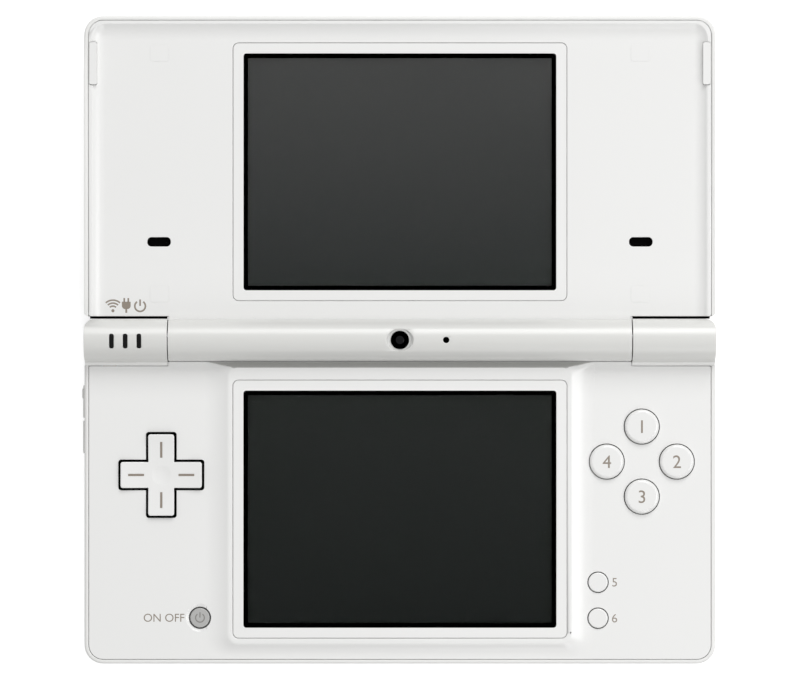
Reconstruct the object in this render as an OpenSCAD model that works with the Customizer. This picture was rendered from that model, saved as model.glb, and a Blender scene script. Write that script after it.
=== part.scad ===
// Clamshell handheld game console, lying open flat.
// Millimetres. +X to the right, +Y away from the player, +Z up out of the screens.
// The origin is on the table, under the middle of the hinge axis.

/* [Shell] */
// Width of both halves
body_w = 137; // [134:1:146]
// Hinge axis to the far edge of each half
half_len = 70.3; // [70:0.1:76]
// Height of the base from its underside to its side faces
base_h = 10; // [10:0.1:12]
// Thickness of the lid from its outer face to its rim
lid_t = 8; // [7.5:0.1:10]
// Radius of the far corners, in plan
corner_r = 4.1; // [3:0.1:6]
// Radius of the corners at the hinge, in plan
hinge_corner_r = 2.2; // [1.6:0.1:3]
// Rounding along the lower edges of both halves
edge_r = 2.5; // [1.5:0.1:2.7]
// Thickness of the side walls
wall = 1.3; // [1.1:0.05:1.4]
// Thickness of the base's floor and of the lid's outer face
skin_t = 1.3; // [1:0.05:1.4]
// Thickness of the plates of the two inner housings
plate_t = 1.3; // [1.1:0.05:1.4]
// Width of the outer shell's rim round each inner housing
rim_w = 0.9; // [0.6:0.05:1]
// Height of the rubber feet
feet_h = 0.6; // [0.4:0.1:1.2]
// Radius of a rubber foot
foot_r = 2.2; // [1.5:0.1:2.4]

/* [Lid face] */
// Depth of the lid's dished face below its rim
dish_h = 1.2; // [1.15:0.05:1.4]
// Width of the slope round the dish
dish_slope = 2.8; // [2:0.1:4]
// Flat rim between the slope and the parting line, at the sides
dish_rim_side = 0.7; // [0.4:0.1:1.2]
// Flat rim between the slope and the parting line, at the far end
dish_rim_far = 1.4; // [0.6:0.1:2]

/* [Platform of the lower screen] */
// Height of the platform above the side faces
platform_h = 1.1; // [0.8:0.05:1.15]
// Platform's edge outside the window, at the sides
platform_side = 1.05; // [0.8:0.05:2]
// Platform's edge outside the window, at the front
platform_front = 1.3; // [0.8:0.05:2]
// Width of the hollowed slopes left and right of the platform
side_slope = 5; // [2:0.1:5.5]
// Width of the hollowed slope in front of the platform
front_slope = 2.8; // [1.5:0.1:3]
// Width of the chamfer between the platform and the hinge barrel
rear_slope = 1.2; // [0.8:0.1:1.8]

/* [Hinge] */
// Radius of the hinge barrel
barrel_r = 4.6; // [4.5:0.05:5]
// Height of the hinge axis above the side faces of the base
axis_rise = 0.75; // [0.6:0.05:0.9]
// Length of each ear, which is the outer section of the barrel
ear_len = 18; // [15:0.5:20]
// How far the ears' ends stay inside the shell's sides
ear_inset = 0.1; // [0:0.05:0.3]
// Wall of the hollow barrel
barrel_wall = 1.1; // [1:0.05:1.3]
// Width of the web that holds a pin in each ear
ear_web = 4.8; // [3:0.1:5]
// Width of the web that turns on the left pin
lid_web = 5; // [3:0.1:6]
// Radius of the hollow left hinge pin
pin_r = 2.5; // [2.2:0.05:2.8]
// Radius of the hole through the left hinge pin
pin_hole_r = 1.7; // [1.6:0.05:1.8]
// Radius of the rolled flex cable that passes through the pin
cable_r = 1.4; // [1:0.05:1.5]
// Radius of the shaft of the click unit at the right
click_shaft_r = 2; // [1.6:0.05:2.3]
// Length of the click unit's cartridge
click_len = 12.1; // [8:0.1:16]
// Radius of the hollow that blends each ear into the side face
ear_fillet_r = 1; // [0.8:0.05:1.2]
// Thickness of the cradle's wall under the barrel
cradle_wall = 0.55; // [0.4:0.05:0.7]

/* [Screens] */
// Side of the shell to each window
window_side = 32.3; // [32:0.1:35]
// Front edge of the base to the lower window
window_front = 5.65; // [5.4:0.05:6.5]
// Hinge axis to the lower window
window_rear = 8.75; // [8.6:0.05:10]
// Far edge of the lid to the upper window
window_far = 5.85; // [5.5:0.05:6.5]
// Border of each window outside the picture area
window_border = 3.2; // [3.1:0.05:4]
// Black border that shows round each picture area
lcd_border = 1; // [0.6:0.1:1.3]
// Thickness of both windows
window_t = 0.8; // [0.6:0.05:0.9]
// Corner radius of both windows
window_r = 1.2; // [0.6:0.1:2]
// How far both windows lie below the face round them
window_sink = 0.05; // [0:0.05:0.15]
// Thickness of the ledge that carries a window
ledge_t = 0.45; // [0.4:0.05:0.5]
// Metal frame of the LCD modules outside the picture area
module_frame = 2.4; // [2:0.1:2.5]
// Thickness of the LCD modules
module_t = 2.5; // [2:0.1:2.55]

/* [D-pad] */
// Length of the d-pad across two arms
dpad_w = 17.8; // [14:0.1:19]
// Width of an arm
dpad_arm = 5.8; // [4.5:0.1:6.5]
// Corner radius of the arms
dpad_r = 0.6; // [0.3:0.1:1]
// D-pad's top above the side face
dpad_rise = 1; // [0.8:0.05:1.05]
// Middle of the d-pad from the shell's left side
dpad_inset = 16.7; // [15.5:0.1:17.5]
// Middle of the d-pad from the hinge axis
dpad_y = 29.3; // [29:0.1:34]
// Radius of the flange that keeps the d-pad in
dpad_flange_r = 7.2; // [6.5:0.1:7.4]
// Largest tilt of the d-pad on each axis, in degrees
dpad_tilt = 2; // [1:0.1:2]
// Radius of the ball under the d-pad
dpad_pivot_r = 1.2; // [1:0.1:1.4]

/* [Buttons] */
// Radius of a face button
face_r = 3.72; // [3:0.01:4]
// Middle of the group of face buttons to the middle of a button
face_offset = 7.6; // [7.2:0.1:8.2]
// Middle of the group from the shell's right side
face_inset = 16; // [15:0.1:16.8]
// Middle of the group from the hinge axis
face_y = 26.4; // [26:0.1:32]
// Top of a face button above the side face
face_rise = 1; // [0.6:0.05:1.1]
// Radius of the start and select buttons
small_r = 2.12; // [1.8:0.01:2.6]
// Middle of the start and select buttons from the shell's right side
small_inset = 25.5; // [24:0.1:26]
// Middle of the start button from the front edge
start_front = 17.7; // [17:0.1:19]
// Middle of the select button from the front edge
select_front = 9.9; // [9.8:0.1:10.3]
// Top of the start and select buttons above the side face
small_rise = 0.45; // [0.2:0.05:0.8]
// Radius of the power button
power_r = 2.12; // [1.8:0.01:2.4]
// Middle of the power button from the shell's left side
power_inset = 25.1; // [24:0.1:26]
// Middle of the power button from the front edge
power_front = 10; // [9.8:0.1:11]
// Top of the power button above the side face
power_rise = 0.1; // [0:0.05:0.3]
// Radius of the dished ring round the power button
power_dish_r = 3.05; // [2.8:0.05:3.5]
// Depth of the dished ring
power_dish_h = 0.3; // [0.1:0.05:0.5]
// Stroke of the face buttons
face_stroke = 0.4; // [0.2:0.05:0.4]
// Stroke of the start, select and power buttons
small_stroke = 0.3; // [0.2:0.05:0.35]
// Width of the flange round each button
button_flange = 0.65; // [0.4:0.05:0.8]
// Height of a dome switch above the board
dome_h = 0.2; // [0.1:0.05:0.25]

/* [Side controls] */
// Length of the volume rocker
rocker_len = 14.9; // [12:0.1:16]
// Height of the volume rocker
rocker_h = 2.6; // [2:0.1:2.8]
// How far the rocker stands out of the shell
rocker_out = 0.45; // [0.2:0.05:0.6]
// Middle of the rocker from the hinge axis
rocker_y = 17.25; // [17:0.1:20]
// Middle of the rocker above the underside of the base
rocker_rise = 5.3; // [5:0.1:6]
// Radius of the rocker's pin
rocker_pin_r = 0.6; // [0.5:0.05:0.7]
// Length of a shoulder button along the rear
shoulder_len = 18.5; // [15:0.1:18.6]
// Length of a shoulder button along the side
shoulder_side = 7.3; // [5:0.1:7.4]
// Radius of the shoulder buttons' pins
shoulder_pin_r = 0.8; // [0.6:0.05:0.9]
// Pin of a shoulder button from its inner end
shoulder_pin_x = 1.7; // [1.6:0.1:2.5]
// Swing of the shoulder buttons, in degrees
shoulder_swing = 4; // [2:0.5:4]
// Wire radius of the shoulder springs
spring_wire_r = 0.2; // [0.1:0.01:0.22]
// Turns of a shoulder spring
spring_turns = 3; // [2:1:3]

/* [Slots and sockets] */
// Width of the game card slot
card_w = 33.8; // [33.4:0.1:34.5]
// Depth of the game card slot from the rear face
card_depth = 34; // [30:0.5:35]
// Width of the memory card slot
sd_w = 24.4; // [24:0.1:25]
// Height of the memory card slot
sd_h = 2.5; // [2.3:0.1:2.6]
// Middle of the memory card slot from the hinge axis
sd_y = 27.4; // [27.2:0.1:29]
// Radius of the headphone jack's bore
jack_r = 1.8; // [1.75:0.01:1.85]
// Depth of the headphone jack's bore
jack_depth = 14; // [12:0.5:15]
// Middle of the headphone jack from the shell's left side
jack_inset = 16.5; // [14:0.5:18]
// Width of the charging port's opening
port_w = 7.4; // [6:0.1:8]
// Height of the charging port's opening
port_h = 3; // [2.4:0.1:3.1]
// Middle of the charging port from the middle of the console
port_x = 31; // [28:0.5:36]
// Radius of the stylus
stylus_r = 2.45; // [2:0.05:2.5]
// Length of the stylus
stylus_len = 92; // [80:1:94]
// Length of the stylus's tapered tip
stylus_tip = 6; // [4:0.5:8]
// Wall of the stylus tube
tube_wall = 0.45; // [0.4:0.05:0.5]

/* [Sound, cameras and lights] */
// Length of a speaker slot
speaker_slot_w = 5.1; // [4:0.1:7]
// Height of a speaker slot
speaker_slot_h = 2.04; // [1.6:0.02:2.6]
// Middle of a speaker from the shell's side
speaker_inset = 16.2; // [14:0.1:18]
// Middle of the speakers from the hinge axis
speaker_y = 21.3; // [20.5:0.1:30]
// Radius of the speakers
speaker_r = 7.2; // [5:0.1:7.4]
// Height of the speakers
speaker_h = 3.2; // [2:0.1:3.4]
// Radius of the hole for the camera in the barrel
camera_hole_r = 2.4; // [2.1:0.05:2.6]
// Radius of the lens of the camera in the barrel
camera_lens_r = 1.98; // [1.6:0.02:2]
// Radius of the microphone's hole
mic_hole_r = 0.68; // [0.4:0.02:1]
// Microphone from the middle of the console
mic_x = 10; // [8:0.5:14]
// Width of a light slot
light_w = 1; // [0.8:0.05:1.2]
// Length of a light slot
light_l = 3.2; // [2.4:0.1:3.6]
// Distance between light slots
light_pitch = 2.97; // [2.6:0.01:3.1]
// Middle of the light slots from the shell's left side
light_inset = 9.1; // [8.8:0.1:9.4]
// Radius of the window of the camera in the outer cover
rear_lens_r = 2.2; // [1.6:0.1:3]
// Camera in the outer cover from the shell's right side
rear_camera_inset = 12; // [10:0.5:18]
// Camera in the outer cover from the hinge axis
rear_camera_y = 46; // [42:0.5:52]

/* [Battery] */
// Side of the shell to the battery
battery_side = 38.75; // [38.5:0.05:42]
// Front edge of the base to the battery
battery_front = 8.7; // [8.6:0.05:10]
// Game card socket to the battery
battery_gap = 3.8; // [3.6:0.1:6]
// Thickness of the battery
battery_t = 4; // [3:0.1:4.05]
// Side of the shell to the battery cover
cover_side = 31.5; // [31:0.1:32.5]

/* [Screws] */
// Radius of a screw's shank
screw_r = 0.8; // [0.6:0.05:0.9]
// Radius of a screw's head
head_r = 1.45; // [1.2:0.05:1.5]
// Height of a screw's head
head_h = 0.7; // [0.5:0.05:0.75]
// Wall round a screw hole
boss_wall = 1.2; // [0.9:0.05:1.4]
// Width of the covers over the lid's screws
pad_w = 3.9; // [3.6:0.1:4.4]
// Height of the covers over the lid's screws
pad_l = 3.4; // [3.3:0.1:4]
// Thickness of the covers over the lid's screws
pad_t = 0.9; // [0.6:0.05:0.95]
// Lid screws from the shell's sides
pad_inset = 16.3; // [15:0.1:17.5]
// Near lid screws from the hinge axis
pad_near_y = 10; // [9.5:0.1:10.5]
// Far lid screws from the far edge
pad_far = 8; // [7:0.1:9]

/* [Clearances] */
// Gap at a parting line between two housings
part_gap = 0.1; // [0.05:0.01:0.15]
// Gap between the two rims when the lid is shut
close_gap = 0.3; // [0.25:0.05:0.4]
// Gap beside and under the moving section of the barrel
hinge_gap = 0.2; // [0.15:0.01:0.25]
// Gap between the ears and the near edge of the lid
lid_edge_gap = 0.5; // [0.4:0.05:0.6]
// Radial clearance of a pin that turns
run_gap = 0.05; // [0.03:0.01:0.08]
// Gap round a button in its hole
button_gap = 0.17; // [0.12:0.01:0.2]
// Gap round the power button in its hole
power_gap = 0.3; // [0.15:0.01:0.35]
// Gap round the d-pad in its hole
dpad_gap = 0.4; // [0.35:0.01:0.45]
// Gap round the windows
window_gap = 0.1; // [0.05:0.01:0.15]
// Gap round the stylus in its tube
stylus_gap = 0.1; // [0.06:0.01:0.15]
// Gap round the side controls and doors
side_gap = 0.12; // [0.1:0.01:0.15]
// Gap under a pressed button
press_gap = 0.05; // [0.03:0.01:0.08]
// Gap between stacked inner pieces
stack_gap = 0.1; // [0.05:0.01:0.12]

/* [Hidden] */
$fn = 48;
eps = 0.01;
far = 20;
slope_steps = 8;

// levels of the base
under_z = feet_h;
floor_z = under_z + skin_t;
side_z = under_z + base_h;
plate_z = side_z - plate_t;
platform_z = side_z + platform_h;
axis_z = side_z + axis_rise;
cradle_z = axis_z - barrel_r - hinge_gap - cradle_wall;

// levels of the lid, which lies open
lid_rim_z = 2 * axis_z - side_z - close_gap;
lid_face_z = lid_rim_z - dish_h;
lid_plate_z = lid_face_z - plate_t;
lid_out_z = lid_rim_z - lid_t;
lid_floor_z = lid_out_z + skin_t;

// plan of both halves
half_w = body_w / 2;
in_w = half_w - wall;
plate_w = half_w - rim_w - part_gap;
front_y = -half_len;
rear_in = 0.2;
rear_y = barrel_r - rear_in;
bulkhead_t = 1.3;
cradle_lip = 1.8;
cradle_front = barrel_r + hinge_gap + cradle_lip;
bore_step = 0.1;
ear_wall = 1.5;
click_end = 2;
inner_r = 0.3;
ear_bore_r = barrel_r - barrel_wall - bore_step;
ear_front = sqrt(pow(barrel_r + ear_fillet_r, 2) - pow(ear_fillet_r - axis_rise, 2));
ear_x = half_w - ear_inset - ear_len;
ear_end = half_w - ear_inset;
barrel_half = ear_x - hinge_gap;
lid_near_y = barrel_r + lid_edge_gap;
bridge_drop = 4.2;
bridge_depth = 3;

// screens
window_w = body_w - 2 * window_side;
window_l = half_len - window_front - window_rear;
lcd_w = window_w - 2 * window_border;
lcd_l = window_l - 2 * window_border;
lower_y = front_y + window_front + window_l / 2;
upper_y = half_len - window_far - window_l / 2;
module_w = lcd_w + 2 * module_frame;
module_l = lcd_l + 2 * module_frame;
black_w = lcd_w + 2 * lcd_border;
black_l = lcd_l + 2 * lcd_border;
seat_edge = 0.45;
seat_w = black_w + 2 * seat_edge;
seat_l = black_l + 2 * seat_edge;
lower_ledge_z = platform_z - window_sink - window_t;
upper_ledge_z = lid_face_z - window_sink - window_t;
lower_module_z = lower_ledge_z - ledge_t;
upper_module_z = upper_ledge_z - ledge_t;

// main board, under the lower screen
board_t = 0.8;
board_top = lower_module_z - module_t - 2 * stack_gap;
board_z = board_top - board_t;
board_margin = 4;
board_w = in_w - board_margin;
board_rear = 2.9;
board_rear_y = -barrel_r - board_rear;
chip_h = 0.9;
// wireless board: middle, size, shield, plug
wireless_side = 18.5;
wireless_y = 21.2;
wireless_at = [-half_w + wireless_side, -wireless_y];
wireless_size = [20, 13.6];
wireless_shield = [16, 10.5];
wireless_plug = [6, 2];
wireless_t = 0.8;
wireless_drop = 2.5;
wireless_plug_h = 0.5;
// under the board: low x, low y, width and length of each chip
chip_a = 14;
chip_a_side = 14;
chip_a_front = 18.3;
chip_b = [9, 5.5];
chip_b_gap = 2.5;
chip_c = 10;
chip_c_side = 21;
chip_c_front = 15.3;
chips = [
    [-board_w + chip_a_side, front_y + chip_a_front, chip_a, chip_a],
    [wireless_at[0] + wireless_size[0] / 2 + chip_b_gap, wireless_at[1] - wireless_size[1] / 2,
        chip_b[0], chip_b[1]],
    [board_w - chip_c_side, front_y + chip_c_front, chip_c, chip_c]
];

// controls
dpad_pos = [-half_w + dpad_inset, -dpad_y];
dpad_top = side_z + dpad_rise;
dpad_flange_t = 0.5;
dpad_free = dpad_flange_r * sin(dpad_tilt) + stack_gap;
dpad_flange_z = board_top + dome_h + dpad_free;
dpad_dome_in = 4.4;
dpad_dome_at = dpad_w / 2 - dpad_dome_in;
pivot_gap = 0.1;
tilt_z = board_top + 3 * pivot_gap;
dpad_dish_r = 12.6;
dpad_dish_h = 0.2;
groove = [3.73, 7.18];
groove_w = 0.5;
groove_h = 0.15;
dome_r = 2;
small_dome_r = 1.6;
dpad_dome_r = 1.2;
face_mid = [half_w - face_inset, -face_y];
face_pos = [for (a = [90, 0, -90, 180]) face_mid + face_offset * [cos(a), sin(a)]];
start_pos = [half_w - small_inset, front_y + start_front];
select_pos = [half_w - small_inset, front_y + select_front];
power_pos = [-half_w + power_inset, front_y + power_front];
flange_t = 0.8;

// side controls
rocker_z = under_z + rocker_rise;
rocker_hub_in = 1.8;
rocker_hub = [-in_w + rocker_hub_in, -rocker_y];
rocker_hub_wall = 0.65;
rocker_lip = 0.6;
rocker_lip_t = 0.6;
rocker_r = 1;
rocker_stem_w = 2;
rocker_nub = [2.1, 1, 0.25];
rocker_nub_at = 0.8;
rocker_notch = [0.6, 2, 0.3];
rocker_switch_at = 6;
rocker_switch_w = 2.4;
rocker_switch_h = 2.4;
shoulder_x = half_w - ear_inset - shoulder_len;
shoulder_pin_in = 3;
shoulder_pin = [shoulder_x + shoulder_pin_x, rear_y - shoulder_pin_in];
shoulder_z0 = floor_z + side_gap;
shoulder_z1 = cradle_z - side_gap;
shoulder_wall = 1.5;
shoulder_hub_h = 2.3;
shoulder_hub_wall = 0.75;
shoulder_web = [5.3, 0.6];
shoulder_rib = [1, 5.4, 2.8];
opening_room = shoulder_len * sin(shoulder_swing) + stack_gap;
opening_side = 0.4;
opening_front = rear_y - shoulder_side - opening_room;
opening_in = shoulder_x - opening_side;
switch_in = 10.6;
switch_x = shoulder_x + switch_in;
switch_body = [5, 1.7, 3];
switch_key = [1, 0.85, 1];
switch_rise = 0.4;
key_rise = 1.4;
strap_in = 7.2;
strap_at = opening_in - bulkhead_t - strap_in;
strap_w = 2;
strap_bar = [0.8, 2.4];
strap_rise = 0.5;

// sockets
tube_r = stylus_r + stylus_gap + tube_wall;
tube_end = 1.3;
tube_mouth_x = in_w - corner_r + wall;
tube_stop = 0.4;
stylus_point_r = 0.7;
stylus_y = front_y + wall + tube_r + stack_gap;
stylus_z = floor_z + tube_r + press_gap;
stylus_end = half_w - ear_inset;
board_front_y = stylus_y + tube_r + 2 * stack_gap;
card_half = card_w / 2;
socket_wall = 0.6;
socket_top = 0.4;
card_contact_in = 2.5;
card_contact_l = 2.6;
card_end_y = rear_y - card_depth;
sd_half = sd_w / 2;
sd_rise = 1.6;
sd_z = floor_z + sd_rise;
sd_depth = 28;
sd_wall = 0.4;
sd_back = 1.5;
sd_foot = 2;
sd_front_gap = 0.3;
door_t = wall;
door_x = half_w - door_t / 2;
door_low = 0.5;
door_high = 0.8;
door_side = 0.6;
door_z0 = sd_z - door_low;
door_z1 = sd_z + sd_h + door_high;
door_hinge_y = -sd_y - sd_half - door_side;
door_rear_y = -sd_y + sd_half + door_side;
door_pin_r = 0.3;
door_pin_h = 0.8;
door_notch = [0.4, 1.6, 1.2];
jack_x = -half_w + jack_inset;
jack_body_w = 6.4;
jack_wall = 0.6;
jack_z = floor_z + jack_r + jack_wall + press_gap;
jack_in = 0.4;
jack_mouth_y = front_y + jack_in;
port_rise = 0.5;
port_z = floor_z + port_rise + port_h / 2;
port_wall = 0.5;
port_depth = 6.6;
port_tongue = [1.2, 0.6, 1];

// battery well
battery_w = body_w - 2 * battery_side;
battery_l = half_len - battery_front + card_end_y - battery_gap;
battery_y = half_len - battery_front - battery_l / 2;
cover_w = body_w - 2 * cover_side;
cover_ledge = [1, 1.4];
contact_w = 1;
contact_pitch = 3;
contact_z = [0.6, 3];
well_gap = 0.3;
well_wall = 0.6;
well_w = battery_w / 2 + 2 * well_gap;
well_l = battery_l / 2 + well_gap;
well_top_gap = 0.15;
well_z = floor_z + battery_t + well_top_gap;
cover_t = 1.2;
cover_over = 0.25;
cover_l = well_l + cover_over;
cover_screw_x = (cover_w / 2 + well_w) / 2;

// screws: x, y of the five that join the base's housings
boss_r = screw_r + boss_wall;
side_screw_in = 8;
side_screw_front = 13.8;
side_screw_y = 11.5;
stylus_screw_gap = 6.4;
side_screw_x = half_w - side_screw_in;
base_screws = [
    [-side_screw_x, front_y + side_screw_front],
    [side_screw_x, front_y + side_screw_front],
    [-side_screw_x, -side_screw_y],
    [side_screw_x, -side_screw_y],
    [stylus_end - stylus_len - stylus_screw_gap, front_y + wall + boss_r + 2 * well_gap]
];
boss_foot = 0.4;
boss_rise = 4.6;
seat_rise = 1.4;
base_boss_z = under_z + boss_rise;
head_seat_z = under_z + seat_rise;
recess_w = 0.3;
recess_h = 0.3;
lid_screws_at = [for (x = [-1, 1]) for (y = [pad_near_y, half_len - pad_far])
    [x * (half_w - pad_inset), y]];
lid_boss_h = 0.8;
lid_boss_z = lid_plate_z - lid_boss_h;
lid_head_z = lid_face_z - pad_t - head_h;
front_foot = [8, 6.3];
rear_foot = [23.5, 0.4];
feet_at = [for (x = [-1, 1])
    for (p = [[half_w - front_foot[0], front_y + front_foot[1]], [half_w - rear_foot[0], -rear_foot[1]]])
        [x * p[0], p[1]]];
bumper_far = 5.7;
bumper_len = 9.2;
bumper_w = 1.5;
bumper_h = 0.25;
cable_tail_in = 3.8;
cable_tail_w = 3;
cable_tail_drop = 2.95;
cable_tail_l = 1.1;
cable_tail_x = [-ear_end + cable_tail_in, -ear_end + cable_tail_in + cable_tail_w];
cable_tail_z = axis_z - cable_tail_drop;
cable_tail_y = board_rear_y - cable_tail_l;
cable_t = 0.2;
cable_slot = 0.3;
lid_cable_in = 20;
lid_cable_w = 6;
lid_cable_drop = 0.45;
lid_cable_x = [-barrel_half + lid_cable_in, -barrel_half + lid_cable_in + lid_cable_w];
lid_cable_z = lid_plate_z - lid_cable_drop;
lid_cable_y = 1;
rear_camera_at = [half_w - rear_camera_inset, rear_camera_y];
light_x = [for (i = [-1, 0, 1]) -half_w + light_inset + i * light_pitch];
light_y = -0.24;
light_r = 0.4;
light_board = [1.4, 2.5, 0.6];
light_board_rise = 1.55;
light_board_z = axis_z + light_board_rise;
led = [0.8, 1.6, 0.75];
bevel_w = 0.6;
bevel_h = 0.8;
cloth_t = 0.2;
cloth_edge = 1;
camera_step = 0.9;
lens_t = 0.4;
rear_lens_in = 0.1;
rear_barrel = [1, 3.2];
mic_r = 1.8;
mic_z = [1.2, 2.8];
bridge_back = 1.2;
pad_proud = 0.03;
pad_r = 0.5;
slot_r = 0.9;

shell_white = [0.93, 0.93, 0.92];
face_white = [0.95, 0.95, 0.94];
screen_dark = [0.12, 0.13, 0.13];
black_part = [0.04, 0.04, 0.04];
metal = [0.72, 0.73, 0.75];
board_green = [0.10, 0.33, 0.20];
amber = [0.80, 0.52, 0.18];

// ---- shared shapes ----

// Box between three pairs of limits
module block(x, y, z)
    translate([x[0], y[0], z[0]])
        cube([x[1] - x[0], y[1] - y[0], z[1] - z[0]]);

// Rectangle with round corners: r0 at the low y, r1 at the high y
module plan_2d(x, y, r0, r1 = -1) {
    ra = r0;
    rb = r1 < 0 ? r0 : r1;
    difference() {
        translate([x[0], y[0]]) square([x[1] - x[0], y[1] - y[0]]);
        for (s = [0, 1]) {
            corner_2d([x[s], y[0]], [s == 0 ? 1 : -1, 1], ra);
            corner_2d([x[s], y[1]], [s == 0 ? 1 : -1, -1], rb);
        }
    }
}

// The waste outside one round corner, at point p with its inside in direction d
module corner_2d(p, d, r)
    difference() {
        translate([min(p[0] - d[0] * eps, p[0] + d[0] * r), min(p[1] - d[1] * eps, p[1] + d[1] * r)])
            square(r + eps);
        translate(p + r * d) circle(r);
    }

// Box of size s round point p in plan
module centred_block(p, s, z)
    block([p[0] - s[0] / 2, p[0] + s[0] / 2], [p[1] - s[1] / 2, p[1] + s[1] / 2], z);

module slab(x, y, z, r0, r1 = -1)
    translate([0, 0, z[0]])
        linear_extrude(z[1] - z[0])
            plan_2d(x, y, r0, r1);

// 2-D child in the Y-Z plane, drawn out along X
module along_x(x)
    translate([x[0], 0, 0])
        rotate([90, 0, 90])
            linear_extrude(x[1] - x[0])
                children();

// 2-D child in the X-Z plane, drawn out along Y
module along_y(y)
    translate([0, y[1], 0])
        rotate([90, 0, 0])
            linear_extrude(y[1] - y[0])
                children();

// Rectangle whose two lower corners are round
module tub_2d(u, v, r)
    difference() {
        translate([u[0], v[0]]) square([u[1] - u[0], v[1] - v[0]]);
        corner_2d([u[0], v[0]], [1, 1], r);
        corner_2d([u[1], v[0]], [-1, 1], r);
    }

// Block that is round in plan and along its lower edges
module tub(x, y, z, r0, r1, r)
    intersection() {
        slab(x, y, z, r0, r1);
        along_y(y) tub_2d(x, z, r);
        along_x(x) tub_2d(y, z, r);
    }

// Cylinder along X on the hinge axis
module barrel(x, r)
    translate([x[0], 0, axis_z])
        rotate([0, 90, 0])
            cylinder(h = x[1] - x[0], r = r);

module post(p, z, r)
    translate([p[0], p[1], z[0]])
        cylinder(h = z[1] - z[0], r = r);

// The same child on the left and on the right
module both_sides() {
    children();
    mirror([1, 0, 0]) children();
}

// Height of a hollowed slope, d from its foot, for a slope w wide and h high
function slope_r(w, h) = (w * w + h * h) / (2 * h);
function slope_at(d, w, h) = slope_r(w, h) - sqrt(pow(slope_r(w, h), 2) - d * d);

// Cross with arm width a, length w and corner radius r
module cross_2d(w, a, r) {
    plan_2d([-w / 2, w / 2], [-a / 2, a / 2], r);
    plan_2d([-a / 2, a / 2], [-w / 2, w / 2], r);
}

// Helical wire round the z axis
module coil(radius, wire_r, height, turns) {
    steps = 16 * turns;
    sides = 8;
    function ring(i) = [for (j = [0 : sides - 1])
        let (t = i * 360 / 16, a = j * 360 / sides, r = radius + wire_r * cos(a))
        [r * cos(t), r * sin(t), height * i / steps + wire_r * sin(a)]];
    points = [for (i = [0 : steps]) each ring(i)];
    first = [for (j = [sides - 1 : -1 : 0]) j];
    last = [for (j = [0 : sides - 1]) steps * sides + j];
    walls = [for (i = [0 : steps - 1]) for (j = [0 : sides - 1])
        [i * sides + j, i * sides + (j + 1) % sides,
            (i + 1) * sides + (j + 1) % sides, (i + 1) * sides + j]];
    polyhedron(points, concat([first], walls, [last]), convexity = 8);
}

// ---- base: housings ----

// Section of an ear and the block that carries it, in the Y-Z plane
module ear_2d() {
    // height at which the hollow runs out on the barrel
    meet_z = axis_z + barrel_r * (ear_fillet_r - axis_rise) / (barrel_r + ear_fillet_r);
    translate([0, axis_z]) circle(barrel_r);
    translate([-ear_front, cradle_z]) square([ear_front + rear_y, side_z - cradle_z]);
    translate([0, side_z - 1]) square([rear_y, axis_z - side_z + 1]);
    difference() {
        translate([-ear_front, side_z - eps]) square([ear_front, meet_z - side_z + eps]);
        translate([-ear_front, side_z + ear_fillet_r]) circle(ear_fillet_r);
    }
}

// Right ear; its bore leaves a web that holds the pin
module ear()
    difference() {
        intersection() {
            along_x([ear_x, ear_end]) ear_2d();
            slab([-ear_end, ear_end], [front_y, barrel_r], [0, axis_z + far], 1, hinge_corner_r);
        }
        barrel([ear_x + ear_web, ear_end - ear_wall], ear_bore_r);
    }

module light_slot(x, gap, z)
    translate([x, light_y, z])
        linear_extrude(far)
            plan_2d([-light_w / 2 - gap, light_w / 2 + gap],
                [-light_l / 2 - gap, light_l / 2 + gap], light_r);

// Solid round the battery, and the low blocks that take the cover's screws
module battery_well() {
    y = [-battery_y - well_l - well_wall, -battery_y + well_l + well_wall];
    block([-well_w - well_wall, well_w + well_wall], y, [under_z + eps, well_z + well_wall]);
    block([-cover_w / 2 - cover_ledge[0], cover_w / 2 + cover_ledge[0]], y,
        [under_z + eps, floor_z + cover_ledge[1]]);
}

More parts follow.
